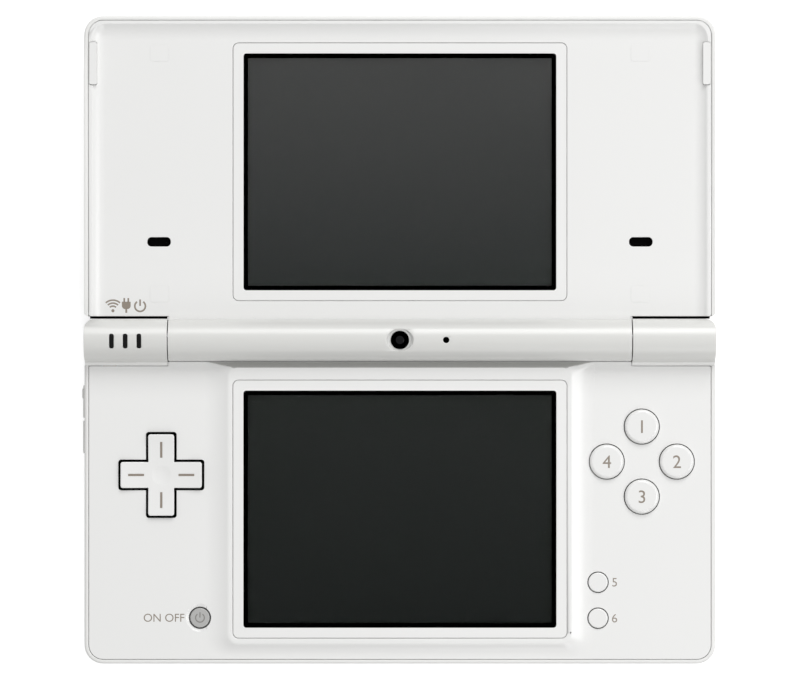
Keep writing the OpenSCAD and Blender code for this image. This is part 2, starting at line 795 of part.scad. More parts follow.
module base_bottom_housing()
    color(shell_white)
    difference() {
        union() {
            difference() {
                tub([-half_w, half_w], [front_y, rear_y], [under_z, side_z],
                    corner_r, hinge_corner_r, edge_r);
                slab([-in_w, in_w], [front_y + wall, rear_y - wall], [floor_z, side_z + 1],
                    corner_r - wall, hinge_corner_r - wall);
                slab([-half_w + rim_w, half_w - rim_w], [front_y + rim_w, 0],
                    [plate_z, side_z + 1], corner_r - rim_w, inner_r);
                block([-half_w - 1, half_w + 1], [-ear_front, far], [cradle_z, side_z + 1]);
            }
            both_sides() {
                ear();
                block([opening_in - bulkhead_t, in_w + eps],
                    [opening_front - bulkhead_t, opening_front], [floor_z - eps, cradle_z]);
                block([opening_in - bulkhead_t, opening_in],
                    [opening_front - bulkhead_t, rear_y - wall + eps], [floor_z - eps, cradle_z]);
                block([ear_x, in_w + eps], [-ear_front, opening_front + eps],
                    [cradle_z - eps, cradle_z + 1]);
            }
            battery_well();
            for (p = base_screws) post(p, [floor_z - eps, base_boss_z], boss_r + boss_foot);
        }
        // openings of the shoulder buttons
        both_sides()
            block([opening_in, half_w + 1], [opening_front, far], [floor_z, cradle_z]);
        // the right ear's web holds the click unit's shaft, the left one the hollow pin
        barrel([ear_x - eps, ear_x + ear_web + eps], click_shaft_r);
        barrel([-ear_x - ear_web - eps, -ear_x + eps], pin_r);
        for (x = light_x) light_slot(x, 0, axis_z + 1);
        // way for the flex cable out of the left ear
        block([cable_tail_x[0] - cable_slot, cable_tail_x[1] + cable_slot],
            [-ear_front - 1, -lid_cable_y],
            [cable_tail_z - cable_slot, cable_tail_z + cable_slot + cable_t]);
        // battery well and its cover
        block([-well_w, well_w], [-battery_y - well_l, -battery_y + well_l], [0, well_z]);
        block([-cover_w / 2 - part_gap, cover_w / 2 + part_gap],
            [-battery_y - cover_l - part_gap, -battery_y + cover_l + part_gap],
            [0, under_z + cover_t + stack_gap]);
        both_sides()
            post([cover_screw_x, -battery_y], [under_z, floor_z + cover_ledge[1] - cable_t], screw_r);
        // housing screws
        for (p = base_screws) {
            post(p, [0, head_seat_z + head_h], head_r + well_top_gap);
            post(p, [0, base_boss_z + 1], screw_r + stack_gap);
        }
        // game card slot and charging port
        block([-card_half, card_half], [0, far], [floor_z, cradle_z + 1]);
        block([port_x - port_w / 2 - part_gap, port_x + port_w / 2 + part_gap], [0, far],
            [port_z - port_h / 2 - part_gap, port_z + port_h / 2 + part_gap]);
        // volume rocker
        block([-half_w - 1, -in_w + 1],
            [-rocker_y - rocker_len / 2 - 2 * side_gap, -rocker_y + rocker_len / 2 + 2 * side_gap],
            [rocker_z - rocker_h / 2 - side_gap, rocker_z + rocker_h / 2 + side_gap]);
        // memory card door
        block([in_w - 1, half_w + 1], [door_hinge_y - door_t / 2 - side_gap, door_rear_y + side_gap],
            [door_z0 - side_gap, door_z1 + side_gap]);
        pin_z = [door_z0 - door_pin_h - 2 * stack_gap, door_z1 + door_pin_h + 2 * stack_gap];
        post([door_x, door_hinge_y], pin_z, door_pin_r + run_gap);
        // headphone jack and stylus
        translate([jack_x, front_y - 1, jack_z])
            rotate([-90, 0, 0])
                cylinder(h = wall + 2, r = jack_r + jack_wall + part_gap);
        translate([in_w - corner_r, stylus_y, stylus_z])
            rotate([0, 90, 0])
                cylinder(h = wall + corner_r + 1, r = stylus_r + stylus_gap);
        // strap opening: in through the rear wall, out through the floor
        block([-strap_at - strap_w / 2, -strap_at + strap_w / 2], [strap_bar[0], far],
            [floor_z + strap_rise, floor_z + strap_rise + strap_w]);
        block([-strap_at - strap_w / 2, -strap_at + strap_w / 2], strap_bar,
            [0, floor_z + 2 * strap_rise]);
    }

// X-Z section of the platform, with a hollowed slope at each side
module platform_x_2d() {
    edge = window_w / 2 + platform_side;
    slope = [for (i = [0 : slope_steps]) let (d = i * side_slope / slope_steps)
        [edge + side_slope - d, side_z + slope_at(d, side_slope, platform_h)]];
    right = concat([[edge + side_slope, plate_z]], slope);
    left = [for (i = [len(right) - 1 : -1 : 0]) [-right[i][0], right[i][1]]];
    polygon(concat(right, left));
}

// Y-Z section of the platform, hollowed at the front, chamfered towards the barrel
module platform_y_2d() {
    edge = lower_y - window_l / 2 - platform_front;
    lip = -barrel_r - hinge_gap;
    slope = [for (i = [0 : slope_steps]) let (d = i * front_slope / slope_steps)
        [edge - front_slope + d, side_z + slope_at(d, front_slope, platform_h)]];
    polygon(concat([[edge - front_slope, plate_z]], slope,
        [[lip - rear_slope, platform_z], [lip, side_z], [lip, plate_z]]));
}

module platform()
    intersection() {
        along_y([front_y, 0]) platform_x_2d();
        along_x([-half_w, half_w]) platform_y_2d();
    }

// Stepped opening for a window: recess, ledge and pocket for the LCD module
module window_opening(y, face_z, ledge_z, module_z, deep_z) {
    w = window_w / 2 + window_gap;
    l = window_l / 2 + window_gap;
    slab([-w, w], [y - l, y + l], [ledge_z, face_z + 1], window_r + window_gap);
    block([-seat_w / 2, seat_w / 2], [y - seat_l / 2, y + seat_l / 2], [deep_z, face_z]);
    block([-module_w / 2 - stack_gap, module_w / 2 + stack_gap],
        [y - module_l / 2 - stack_gap, y + module_l / 2 + stack_gap], [deep_z, module_z]);
}

module cross(grow, z)
    translate([dpad_pos[0], dpad_pos[1], z[0]])
        linear_extrude(z[1] - z[0])
            cross_2d(dpad_w + 2 * grow, dpad_arm + 2 * grow, dpad_r);

module base_top_housing()
    color(face_white)
    difference() {
        union() {
            slab([-plate_w, plate_w], [front_y + rim_w + part_gap, -ear_front - part_gap],
                [plate_z, side_z], corner_r - rim_w - part_gap, inner_r);
            platform();
            // cradle of the moving section of the barrel
            block([-ear_x + part_gap, ear_x - part_gap], [-cradle_front, rear_y], [cradle_z, side_z]);
            for (p = base_screws) post(p, [base_boss_z + press_gap, plate_z + eps], boss_r);
        }
        barrel([-ear_x, ear_x], barrel_r + hinge_gap);
        block([-ear_x, ear_x], [0, far], [cradle_z + cradle_wall, axis_z]);
        window_opening(lower_y, platform_z, lower_ledge_z, lower_module_z, plate_z - 1);
        cross(dpad_gap, [plate_z - 1, side_z + 1]);
        for (p = face_pos) post(p, [plate_z - 1, side_z + 1], face_r + button_gap);
        for (p = [start_pos, select_pos]) post(p, [plate_z - 1, side_z + 1], small_r + button_gap);
        post(power_pos, [plate_z - 1, side_z + 1], power_r + power_gap);
        translate([power_pos[0], power_pos[1], side_z - power_dish_h])
            cylinder(h = power_dish_h + eps, r1 = power_r + power_gap + stack_gap, r2 = power_dish_r);
        for (p = base_screws) post(p, [0, plate_z - inner_r], screw_r);
    }

module battery_cover()
    color(shell_white)
    difference() {
        block([-cover_w / 2, cover_w / 2], [-battery_y - cover_l, -battery_y + cover_l],
            [under_z, under_z + cover_t]);
        both_sides() {
            post([cover_screw_x, -battery_y], [0, under_z + stack_gap + head_h], head_r + stack_gap);
            post([cover_screw_x, -battery_y], [0, under_z + far], screw_r + press_gap);
        }
    }

// Cross recess of a screw head
module recess_cross(p, z) {
    centred_block(p, [head_r, recess_w], z);
    centred_block(p, [recess_w, head_r], z);
}

// Pan-head screw standing head down, its head's face at z
module screw_up(p, z, length) {
    difference() {
        post(p, [z, z + head_h], head_r);
        recess_cross(p, [z - recess_h, z + recess_h]);
    }
    post(p, [z + head_h - eps, z + length], screw_r);
}

module battery_cover_screws()
    color(metal)
    for (s = [-1, 1])
        screw_up([s * cover_screw_x, -battery_y], under_z + stack_gap,
            floor_z + cover_ledge[1] - inner_r - under_z);

module housing_screws()
    color(metal)
    for (p = base_screws)
        screw_up(p, head_seat_z, plate_z - 2 * inner_r - head_seat_z);

module rubber_feet()
    color([0.35, 0.35, 0.36])
    for (p = feet_at) post(p, [0, feet_h], foot_r);

// ---- base: power and boards ----

module battery_pack()
    color([0.22, 0.25, 0.30])
    slab([well_w - stack_gap - battery_w, well_w - stack_gap],
        [-battery_y - battery_l / 2, -battery_y + battery_l / 2], [floor_z, floor_z + battery_t], well_wall);

module battery_contacts()
    color([0.85, 0.70, 0.30])
    for (i = [-1, 0, 1])
        block([-well_w, well_w - stack_gap - battery_w],
            [-battery_y + contact_pitch * i - contact_w / 2, -battery_y + contact_pitch * i + contact_w / 2],
            [floor_z + contact_z[0], floor_z + contact_z[1]]);

module main_board()
    color(board_green) {
        difference() {
            block([-board_w, board_w], [board_front_y, board_rear_y], [board_z, board_top]);
            for (p = base_screws) post(p, [0, far], boss_r + 2 * well_gap);
        }
        // chips under the board, left and right of the battery well
        for (c = chips)
            block([c[0], c[0] + c[2]], [c[1], c[1] + c[3]], [board_z - chip_h, board_z + eps]);
    }

module wireless_board()
    color(board_green) {
        low = board_z - wireless_drop;
        centred_block(wireless_at, wireless_size, [low, low + wireless_t]);
        centred_block(wireless_at, wireless_shield, [low + wireless_t - eps, board_z - wireless_plug_h]);
        centred_block(wireless_at, wireless_plug, [board_z - wireless_plug_h - eps, board_z]);
    }

module dome(p, r)
    translate([p[0], p[1], board_top])
        cylinder(h = dome_h, r1 = r, r2 = 0.6 * r);

module dome_switches()
    color(metal) {
        for (p = face_pos) dome(p, dome_r);
        for (p = [start_pos, select_pos, power_pos]) dome(p, small_dome_r);
        for (a = [0 : 90 : 270]) dome(dpad_pos + dpad_dome_at * [cos(a), sin(a)], dpad_dome_r);
    }

module side_switches()
    color(black_part) {
        for (s = [-1, 1])
            block([rocker_hub[0] - 2 * stack_gap, -board_w],
                [-rocker_y + s * rocker_switch_at - rocker_switch_w / 2,
                    -rocker_y + s * rocker_switch_at + rocker_switch_w / 2],
                [board_top - stack_gap - rocker_switch_h, board_top - stack_gap]);
        both_sides() {
            y = opening_front + switch_body[1];
            block([switch_x - switch_body[0] / 2, switch_x + switch_body[0] / 2], [opening_front, y],
                [floor_z + switch_rise, floor_z + switch_rise + switch_body[2]]);
            block([switch_x - switch_key[0] / 2, switch_x + switch_key[0] / 2], [y - eps, y + switch_key[1]],
                [floor_z + key_rise, floor_z + key_rise + switch_key[2]]);
        }
    }

// ---- base: screen ----

module window_plate(y, face_z)
    slab([-window_w / 2, window_w / 2], [y - window_l / 2, y + window_l / 2],
        [face_z - window_sink - window_t, face_z - window_sink], window_r);

// Black frame between the window and the LCD module
module black_frame(y, module_z)
    difference() {
        block([-seat_w / 2 + stack_gap, seat_w / 2 - stack_gap],
            [y - seat_l / 2 + stack_gap, y + seat_l / 2 - stack_gap], [module_z, module_z + ledge_t]);
        block([-lcd_w / 2, lcd_w / 2], [y - lcd_l / 2, y + lcd_l / 2], [0, far]);
    }

module lcd_module(y, top_z)
    block([-module_w / 2, module_w / 2], [y - module_l / 2, y + module_l / 2], [top_z - module_t, top_z]);

module touch_panel()
    color([0.9, 0.9, 0.9, 0.4])
    window_plate(lower_y, platform_z);

module lower_screen_frame()
    color(black_part)
    black_frame(lower_y, lower_module_z);

module lower_lcd_module()
    color(screen_dark)
    lcd_module(lower_y, lower_module_z);

// ---- base: slots and sockets ----

module game_card_socket()
    color(black_part) {
        difference() {
            block([-card_half - socket_wall, card_half + socket_wall], [card_end_y, rear_y - wall],
                [floor_z, cradle_z + socket_top]);
            block([-card_half, card_half], [card_end_y + socket_wall, far], [0, cradle_z]);
            block([-half_w, half_w], [-cradle_front - stack_gap, far], [cradle_z, far]);
        }
        block([-card_half + card_contact_in, card_half - card_contact_in],
            [card_end_y + socket_wall - eps, card_end_y + socket_wall + card_contact_l],
            [cradle_z - contact_w, cradle_z + eps]);
    }

module memory_card_socket()
    color(metal) {
        x = [in_w - sd_front_gap - sd_depth, in_w - sd_front_gap];
        y = [-sd_y - sd_half - sd_wall, -sd_y + sd_half + sd_wall];
        difference() {
            block(x, y, [sd_z - sd_wall, sd_z + sd_h + sd_wall]);
            block([x[0] + sd_back, far + half_w], [-sd_y - sd_half, -sd_y + sd_half], [sd_z, sd_z + sd_h]);
        }
        // feet that hold the socket under the main board
        for (u = [x[0], board_w - sd_foot])
            for (v = [y[0], y[1] - sd_foot])
                block([u, u + sd_foot], [v, v + sd_foot], [sd_z + sd_h + sd_wall - eps, board_z]);
    }

module memory_card_door()
    color(face_white)
    difference() {
        union() {
            block([in_w, half_w], [door_hinge_y, door_rear_y], [door_z0, door_z1]);
            post([door_x, door_hinge_y], [door_z0, door_z1], door_t / 2);
            post([door_x, door_hinge_y], [door_z0 - door_pin_h, door_z1 + door_pin_h], door_pin_r);
        }
        // nail notch at the free end
        block([half_w - door_notch[0], far + half_w], [door_rear_y - door_notch[1], far],
            [door_z0 + door_notch[2], door_z1 - door_notch[2]]);
    }

module headphone_jack()
    color([0.30, 0.30, 0.31])
    difference() {
        union() {
            block([jack_x - jack_body_w / 2, jack_x + jack_body_w / 2],
                [front_y + wall, jack_mouth_y + jack_depth + 1], [floor_z, board_z]);
            translate([jack_x, jack_mouth_y, jack_z])
                rotate([-90, 0, 0])
                    cylinder(h = wall + 1, r = jack_r + jack_wall);
        }
        translate([jack_x, jack_mouth_y - eps, jack_z])
            rotate([-90, 0, 0])
                cylinder(h = jack_depth, r = jack_r);
    }

module charging_port()
    color(black_part) {
        back = rear_y - wall - port_depth;
        difference() {
            block([port_x - port_w / 2 - port_wall, port_x + port_w / 2 + port_wall],
                [back, rear_y - wall], [port_z - port_h / 2 - port_wall, port_z + port_h / 2 + port_wall]);
            block([port_x - port_w / 2, port_x + port_w / 2], [back + port_wall, far],
                [port_z - port_h / 2, port_z + port_h / 2]);
        }
        block([port_x - port_w / 2 + port_tongue[0], port_x + port_w / 2 - port_tongue[0]],
            [back + port_wall - eps, rear_y - wall - port_tongue[2]],
            [port_z - port_tongue[1] / 2, port_z + port_tongue[1] / 2]);
    }

module stylus_tube()
    color([0.55, 0.55, 0.56])
    translate([0, stylus_y, stylus_z])
        rotate([0, 90, 0])
            difference() {
                translate([0, 0, stylus_end - stylus_len - tube_end])
                    cylinder(h = tube_mouth_x - stylus_end + stylus_len + tube_end, r = tube_r);
                translate([0, 0, stylus_end - stylus_len - tube_stop])
                    cylinder(h = stylus_len + far, r = stylus_r + stylus_gap);
            }

// Stylus; its end follows the round corner of the shell
module stylus()
    color(face_white)
    intersection() {
        translate([stylus_end - stylus_len, stylus_y, stylus_z])
            rotate([0, 90, 0]) {
                cylinder(h = stylus_tip, r1 = stylus_point_r, r2 = stylus_r);
                translate([0, 0, stylus_tip - eps]) cylinder(h = stylus_len - stylus_tip + eps, r = stylus_r);
            }
        slab([-stylus_end, stylus_end], [front_y + ear_inset, 0], [0, far], corner_r - ear_inset);
    }

// ---- base: controls on the face ----

// Button with the flange that keeps it under the plate
module round_button(p, r, gap, rise, stroke) {
    foot_z = board_top + dome_h + stroke + press_gap;
    post(p, [foot_z, side_z + rise], r);
    post(p, [foot_z, foot_z + flange_t], r + gap + button_flange);
}

module d_pad()
    color(face_white)
    difference() {
        union() {
            cross(0, [dpad_flange_z + dpad_flange_t - eps, dpad_top]);
            post(dpad_pos, [dpad_flange_z, dpad_flange_z + dpad_flange_t], dpad_flange_r);
        }
        // socket over the ball
        translate([dpad_pos[0], dpad_pos[1], tilt_z]) sphere(dpad_pivot_r + run_gap);
        // dished middle and one groove on each arm
        translate([dpad_pos[0], dpad_pos[1], dpad_top + dpad_dish_r - dpad_dish_h]) sphere(dpad_dish_r);
        translate(dpad_pos)
            for (a = [0 : 90 : 270])
                rotate(a)
                    block(groove, [-groove_w / 2, groove_w / 2], [dpad_top - groove_h, far]);
    }

module d_pad_pivot()
    color([0.4, 0.4, 0.42])
    difference() {
        translate([dpad_pos[0], dpad_pos[1], tilt_z]) sphere(dpad_pivot_r);
        post(dpad_pos, [0, board_top + pivot_gap], far);
    }

module face_button(i)
    color(face_white)
    round_button(face_pos[i], face_r, button_gap, face_rise, face_stroke);

module face_button_top() face_button(0);
module face_button_right() face_button(1);
module face_button_bottom() face_button(2);
module face_button_left() face_button(3);

module start_button()
    color(face_white)
    round_button(start_pos, small_r, button_gap, small_rise, small_stroke);

module select_button()
    color(face_white)
    round_button(select_pos, small_r, button_gap, small_rise, small_stroke);

module power_button()
    color([0.75, 0.75, 0.76])
    round_button(power_pos, power_r, power_gap, power_rise, small_stroke);

// ---- base: controls on the sides ----

module volume_rocker()
    color(face_white)
    difference() {
        y = [-rocker_y - rocker_len / 2, -rocker_y + rocker_len / 2];
        z = [rocker_z - rocker_h / 2, rocker_z + rocker_h / 2];
        lip = [-rocker_lip, rocker_lip];
        lip_x = -in_w + rocker_lip - stack_gap;
        union() {
            along_x([-half_w - rocker_out, lip_x + eps]) plan_2d(y, z, rocker_r);
            along_x([lip_x, lip_x + rocker_lip_t]) plan_2d(y + lip, z + lip, rocker_r);
            along_x([lip_x + rocker_lip_t - eps, rocker_hub[0]])
                plan_2d([-rocker_y - rocker_stem_w / 2, -rocker_y + rocker_stem_w / 2], z + lip, door_pin_r);
            post(rocker_hub, z + lip, rocker_pin_r + run_gap + rocker_hub_wall);
            // nub that marks the louder end
            block([-half_w - rocker_out - rocker_nub[2], -half_w],
                [y[1] - rocker_nub_at - rocker_nub[0], y[1] - rocker_nub_at],
                [rocker_z - rocker_nub[1] / 2, rocker_z + rocker_nub[1] / 2]);
        }
        post(rocker_hub, [0, far], rocker_pin_r + run_gap);
        // notch at the middle of the rocker
        block([-half_w - far, -half_w - rocker_out + rocker_notch[2]],
            [-rocker_y - rocker_notch[0] / 2, -rocker_y + rocker_notch[0] / 2],
            z + [-rocker_notch[1], rocker_notch[1]]);
    }

module side_pins()
    color(metal) {
        post(rocker_hub, [floor_z, rocker_z + rocker_h / 2 + rocker_lip + 2 * well_gap], rocker_pin_r);
        both_sides() post(shoulder_pin, [floor_z, cradle_z], shoulder_pin_r);
    }

// Right shoulder button, open towards the front
module shoulder_button()
    color(face_white)
    difference() {
        z = [shoulder_z0, shoulder_z1];
        union() {
            intersection() {
                difference() {
                    slab([-ear_end, ear_end], [rear_y - shoulder_side, rear_y], z, 0.3, hinge_corner_r);
                    slab([-ear_end + shoulder_wall, ear_end - shoulder_wall],
                        [rear_y - shoulder_side - 1, rear_y - shoulder_wall], z + [-1, 1],
                        0.3, hinge_corner_r - shoulder_wall);
                }
                block([shoulder_x, half_w], [-far, far], z);
            }
            // web along the floor, hub and the rib that reaches the switch
            block([shoulder_x, ear_end - shoulder_wall + eps],
                [rear_y - shoulder_web[0], rear_y - shoulder_wall + eps], [z[0], z[0] + shoulder_web[1]]);
            post(shoulder_pin, [z[0], z[0] + shoulder_hub_h], shoulder_pin_r + run_gap + shoulder_hub_wall);
            block([switch_x - shoulder_rib[0] / 2, switch_x + shoulder_rib[0] / 2],
                [rear_y - shoulder_rib[1], rear_y - shoulder_wall + eps], [z[0], z[0] + shoulder_rib[2]]);
        }
        post(shoulder_pin, [0, far], shoulder_pin_r + run_gap);
    }

module right_shoulder_button() shoulder_button();
module left_shoulder_button() mirror([1, 0, 0]) shoulder_button();

module shoulder_spring() {
    foot_z = shoulder_z0 + shoulder_hub_h + spring_wire_r + press_gap;
    color(metal)
    translate([shoulder_pin[0], shoulder_pin[1], foot_z])
        coil(shoulder_pin_r + 2 * run_gap + spring_wire_r, spring_wire_r,
            cradle_z - spring_wire_r - press_gap - foot_z, spring_turns);
}

module right_shoulder_spring() shoulder_spring();
module left_shoulder_spring() mirror([1, 0, 0]) shoulder_spring();

// ---- hinge ----

module light_pipes()
    color([0.10, 0.10, 0.10])
    for (x = light_x)
        intersection() {
            light_slot(x, -pad_proud, axis_z + ear_bore_r - cable_slot);
            barrel([-half_w, 0], barrel_r - press_gap);
        }

module status_light_board()
    color(board_green) {
        top = light_board_z + light_board[2];
        block([light_x[0] - light_board[0], light_x[2] + led[0]], [-light_board[1], light_board[1]],
            [light_board_z, top]);
        for (x = light_x)
            centred_block([x, light_y], led, [top - eps, top + led[2]]);
    }

module left_hinge_pin()
    color(metal)
    difference() {
        barrel([-ear_x - ear_web, -barrel_half + lid_web - hinge_gap], pin_r);
        barrel([-half_w, 0], pin_hole_r);
    }

module hinge_click_shaft()
    color(metal)
    barrel([barrel_half - click_len + click_end + cable_slot, ear_x + ear_web], click_shaft_r);

module base_flex_cable()
    color(amber) {
        barrel([cable_tail_x[0] - 3 * cable_t, -barrel_half + lid_web + cable_t], cable_r);
        block(cable_tail_x, [-cable_t, 0], [cable_tail_z, axis_z - cable_r / 2]);
        block(cable_tail_x, [cable_tail_y, 0], [cable_tail_z, cable_tail_z + cable_t]);
        block(cable_tail_x, [cable_tail_y, cable_tail_y + cable_t], [board_top, cable_tail_z + cable_t]);
    }

module hinge_click_unit()
    color([0.45, 0.45, 0.47])
    difference() {
        barrel([barrel_half - click_len, barrel_half - stack_gap], barrel_r - barrel_wall);
        barrel([barrel_half - click_len + click_end, half_w], click_shaft_r + run_gap);
    }

// ---- lid ----

// X-Z and Y-Z sections of the hollow over the lid's dished face
module dish()
    intersection() {
        foot = plate_w - dish_rim_side - dish_slope;
        end = half_len - rim_w - part_gap - dish_rim_far;
        along_y([0, half_len])
            polygon([[-foot, lid_face_z], [foot, lid_face_z], [foot + dish_slope, lid_rim_z],
                [foot + dish_slope, far], [-foot - dish_slope, far], [-foot - dish_slope, lid_rim_z]]);
        along_x([-half_w, half_w])
            polygon([[0, lid_face_z], [end - dish_slope, lid_face_z], [end, lid_rim_z],
                [end, far], [0, far]]);
    }

module pad_box(p, grow, z)
    slab([p[0] - pad_w / 2 - grow, p[0] + pad_w / 2 + grow],
        [p[1] - pad_l / 2 - grow, p[1] + pad_l / 2 + grow], z, pad_r);

// Right side bumper, let into the slope of the rim
module bumper(grow) {
    x = plate_w - rear_in;
    y = half_len - bumper_far;
    slab([x - bumper_w - grow, x + grow], [y - bumper_len - grow, y + grow],
        [lid_rim_z - 1, lid_rim_z + bumper_h], light_r);
}

module lid_inner_housing()
    color(face_white)
    difference() {
        union() {
            difference() {
                slab([-plate_w, plate_w], [lid_near_y + press_gap, half_len - rim_w - part_gap],
                    [lid_plate_z, lid_rim_z], pad_r, corner_r - rim_w - part_gap);
                dish();
            }
            barrel([-barrel_half, barrel_half], barrel_r);
            block([-barrel_half, barrel_half], [bridge_depth, lid_near_y + wall + bridge_back],
                [axis_z - bridge_drop, lid_face_z]);
            for (p = lid_screws_at) post(p, [lid_boss_z, lid_plate_z + eps], boss_r);
        }
        // hollow of the barrel, with the web on the left pin and the seat of the click unit
        barrel([-barrel_half + lid_web, barrel_half - click_len - ear_wall], barrel_r - barrel_wall);
        barrel([barrel_half - click_len, half_w], barrel_r - barrel_wall);
        barrel([-half_w, 0], pin_r + run_gap);
        // camera and microphone
        post([0, 0], [axis_z, axis_z + far], camera_hole_r);
        translate([0, 0, axis_z + barrel_r - bevel_h])
            cylinder(h = bevel_h + eps, r1 = camera_hole_r, r2 = camera_hole_r + bevel_w);
        post([mic_x, 0], [axis_z, axis_z + far], mic_hole_r);
        // way for the flex cable to the screen
        block([lid_cable_x[0] - cable_slot, lid_cable_x[1] + cable_slot],
            [lid_cable_y - cable_slot, lid_near_y + far],
            [lid_cable_z - cable_slot, lid_cable_z + cable_t + cable_slot / 2]);
        window_opening(upper_y, lid_face_z, upper_ledge_z, upper_module_z, lid_plate_z - 1);
        both_sides() {
            translate([half_w - speaker_inset, speaker_y, lid_plate_z - 1])
                linear_extrude(plate_t + 2)
                    plan_2d([-speaker_slot_w / 2, speaker_slot_w / 2],
                        [-speaker_slot_h / 2, speaker_slot_h / 2], slot_r);
            bumper(part_gap);
        }
        for (p = lid_screws_at) {
            pad_box(p, part_gap, [lid_face_z - pad_t, lid_face_z + 1]);
            post(p, [lid_head_z, lid_face_z], head_r + well_top_gap);
            post(p, [0, lid_face_z], screw_r + stack_gap);
        }
    }

module lid_outer_cover()
    color(shell_white)
    difference() {
        union() {
            difference() {
                tub([-half_w, half_w], [lid_near_y, half_len], [lid_out_z, lid_rim_z], 1, corner_r, edge_r);
                slab([-in_w, in_w], [lid_near_y + wall, half_len - wall], [lid_floor_z, lid_rim_z + 1],
                    0.5, corner_r - wall);
                slab([-half_w + rim_w, half_w - rim_w], [lid_near_y - 2, half_len - rim_w],
                    [lid_plate_z, lid_rim_z + 1], 0.5, corner_r - rim_w);
            }
            for (p = lid_screws_at) post(p, [lid_floor_z - eps, lid_boss_z - press_gap], boss_r);
            post(rear_camera_at, [lid_floor_z - eps, lid_floor_z + rear_barrel[0]],
                rear_lens_r + 2 * rear_barrel[0]);
        }
        block([-barrel_half - part_gap, barrel_half + part_gap], [0, lid_near_y + wall + 1],
            [axis_z - bridge_drop - press_gap, lid_rim_z]);
        for (p = lid_screws_at) post(p, [lid_floor_z + bevel_w, far], screw_r);
        post(rear_camera_at, [0, far], rear_lens_r + part_gap);
        post(rear_camera_at, [lid_floor_z, far], rear_lens_r + rear_barrel[0] + stack_gap);
    }

module upper_screen_window()
    color([0.9, 0.9, 0.9, 0.4])
    window_plate(upper_y, lid_face_z);

module upper_screen_frame()
    color(black_part)
    black_frame(upper_y, upper_module_z);

module upper_lcd_module()
    color(screen_dark)
    lcd_module(upper_y, upper_module_z);

module speaker(s)
    color(black_part) {
        p = [s * (half_w - speaker_inset), speaker_y];
        top = lid_plate_z - cloth_t;
        post(p, [top - speaker_h, top], speaker_r);
        post(p, [lid_floor_z, top - speaker_h + eps], speaker_r / 2);
    }

module left_speaker() speaker(-1);
module right_speaker() speaker(1);

module speaker_cloths()
    color([0.05, 0.05, 0.05])
    both_sides()
        centred_block([half_w - speaker_inset, speaker_y],
            [speaker_slot_w + 2 * cloth_edge, speaker_slot_h + 2 * cloth_edge],
            [lid_plate_z - cloth_t, lid_plate_z]);

module barrel_camera()
    color(black_part)
    post([0, 0], [axis_z - camera_hole_r, axis_z + barrel_r - camera_step], camera_hole_r - stack_gap);

module barrel_camera_lens()
    color([0.02, 0.02, 0.03])
    post([0, 0], [axis_z + barrel_r - camera_step, axis_z + barrel_r - camera_step + lens_t], camera_lens_r);

module rear_camera()
    color(black_part)
    post(rear_camera_at, [lid_floor_z, lid_floor_z + rear_barrel[1]], rear_lens_r + rear_barrel[0]);

module rear_camera_lens()
    color([0.02, 0.02, 0.03])
    post(rear_camera_at, [lid_out_z + rear_lens_in, lid_floor_z], rear_lens_r);

module microphone()
    color(metal)
    post([mic_x, 0], [axis_z + mic_z[0], axis_z + mic_z[1]], mic_r);

module lid_screws()
    color(metal)
    for (p = lid_screws_at) {
        difference() {
            post(p, [lid_head_z, lid_head_z + head_h - press_gap], head_r);
            recess_cross(p, [lid_head_z + head_h - press_gap - recess_h, far]);
        }
        post(p, [lid_floor_z + bevel_w, lid_head_z + eps], screw_r);
    }

module lid_screw_covers()
    color(face_white)
    for (p = lid_screws_at) pad_box(p, 0, [lid_face_z - pad_t, lid_face_z + pad_proud]);

module lid_side_bumpers()
    color(face_white)
    both_sides() bumper(0);

module lid_flex_cable()
    color(amber) {
        barrel([-barrel_half + lid_web + 2 * cable_t, lid_cable_x[1]], cable_r);
        block(lid_cable_x, [lid_cable_y, lid_cable_y + cable_t], [lid_cable_z, axis_z - cable_r / 2]);
        block(lid_cable_x, [lid_cable_y, upper_y - module_l / 2], [lid_cable_z, lid_cable_z + cable_t]);
    }

base_bottom_housing();
base_top_housing();
battery_cover();
battery_cover_screws();
battery_pack();
battery_contacts();
housing_screws();
rubber_feet();
touch_panel();
lower_screen_frame();
lower_lcd_module();
main_board();
wireless_board();
game_card_socket();
memory_card_socket();
memory_card_door();
headphone_jack();
charging_port();
stylus_tube();
stylus();
d_pad();
d_pad_pivot();
dome_switches();
face_button_top();
face_button_right();
face_button_bottom();
face_button_left();
start_button();
select_button();
power_button();
volume_rocker();
side_pins();
side_switches();
left_shoulder_button();
right_shoulder_button();
left_shoulder_spring();
right_shoulder_spring();
light_pipes();
status_light_board();
left_hinge_pin();
hinge_click_shaft();
base_flex_cable();
lid_inner_housing();
lid_outer_cover();
upper_screen_window();
upper_screen_frame();
upper_lcd_module();
left_speaker();
right_speaker();
speaker_cloths();
barrel_camera();
barrel_camera_lens();
rear_camera();
rear_camera_lens();
microphone();
hinge_click_unit();
lid_screws();
lid_screw_covers();
lid_side_bumpers();
lid_flex_cable();
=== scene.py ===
"""Looks of a clamshell handheld game console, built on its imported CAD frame.

Lengths that describe a piece are millimetres. Meshes, their tolerances, the depth of a finish's grain
and the studio are in metres.
"""

from __future__ import annotations

import logging
import math
from dataclasses import dataclass, field
from enum import Enum
from typing import Callable, Iterable, Sequence

import bmesh
import bpy
import numpy as np
from bmesh.types import BMEdge, BMesh, BMFace, BMVert
from mathutils import Matrix, Vector


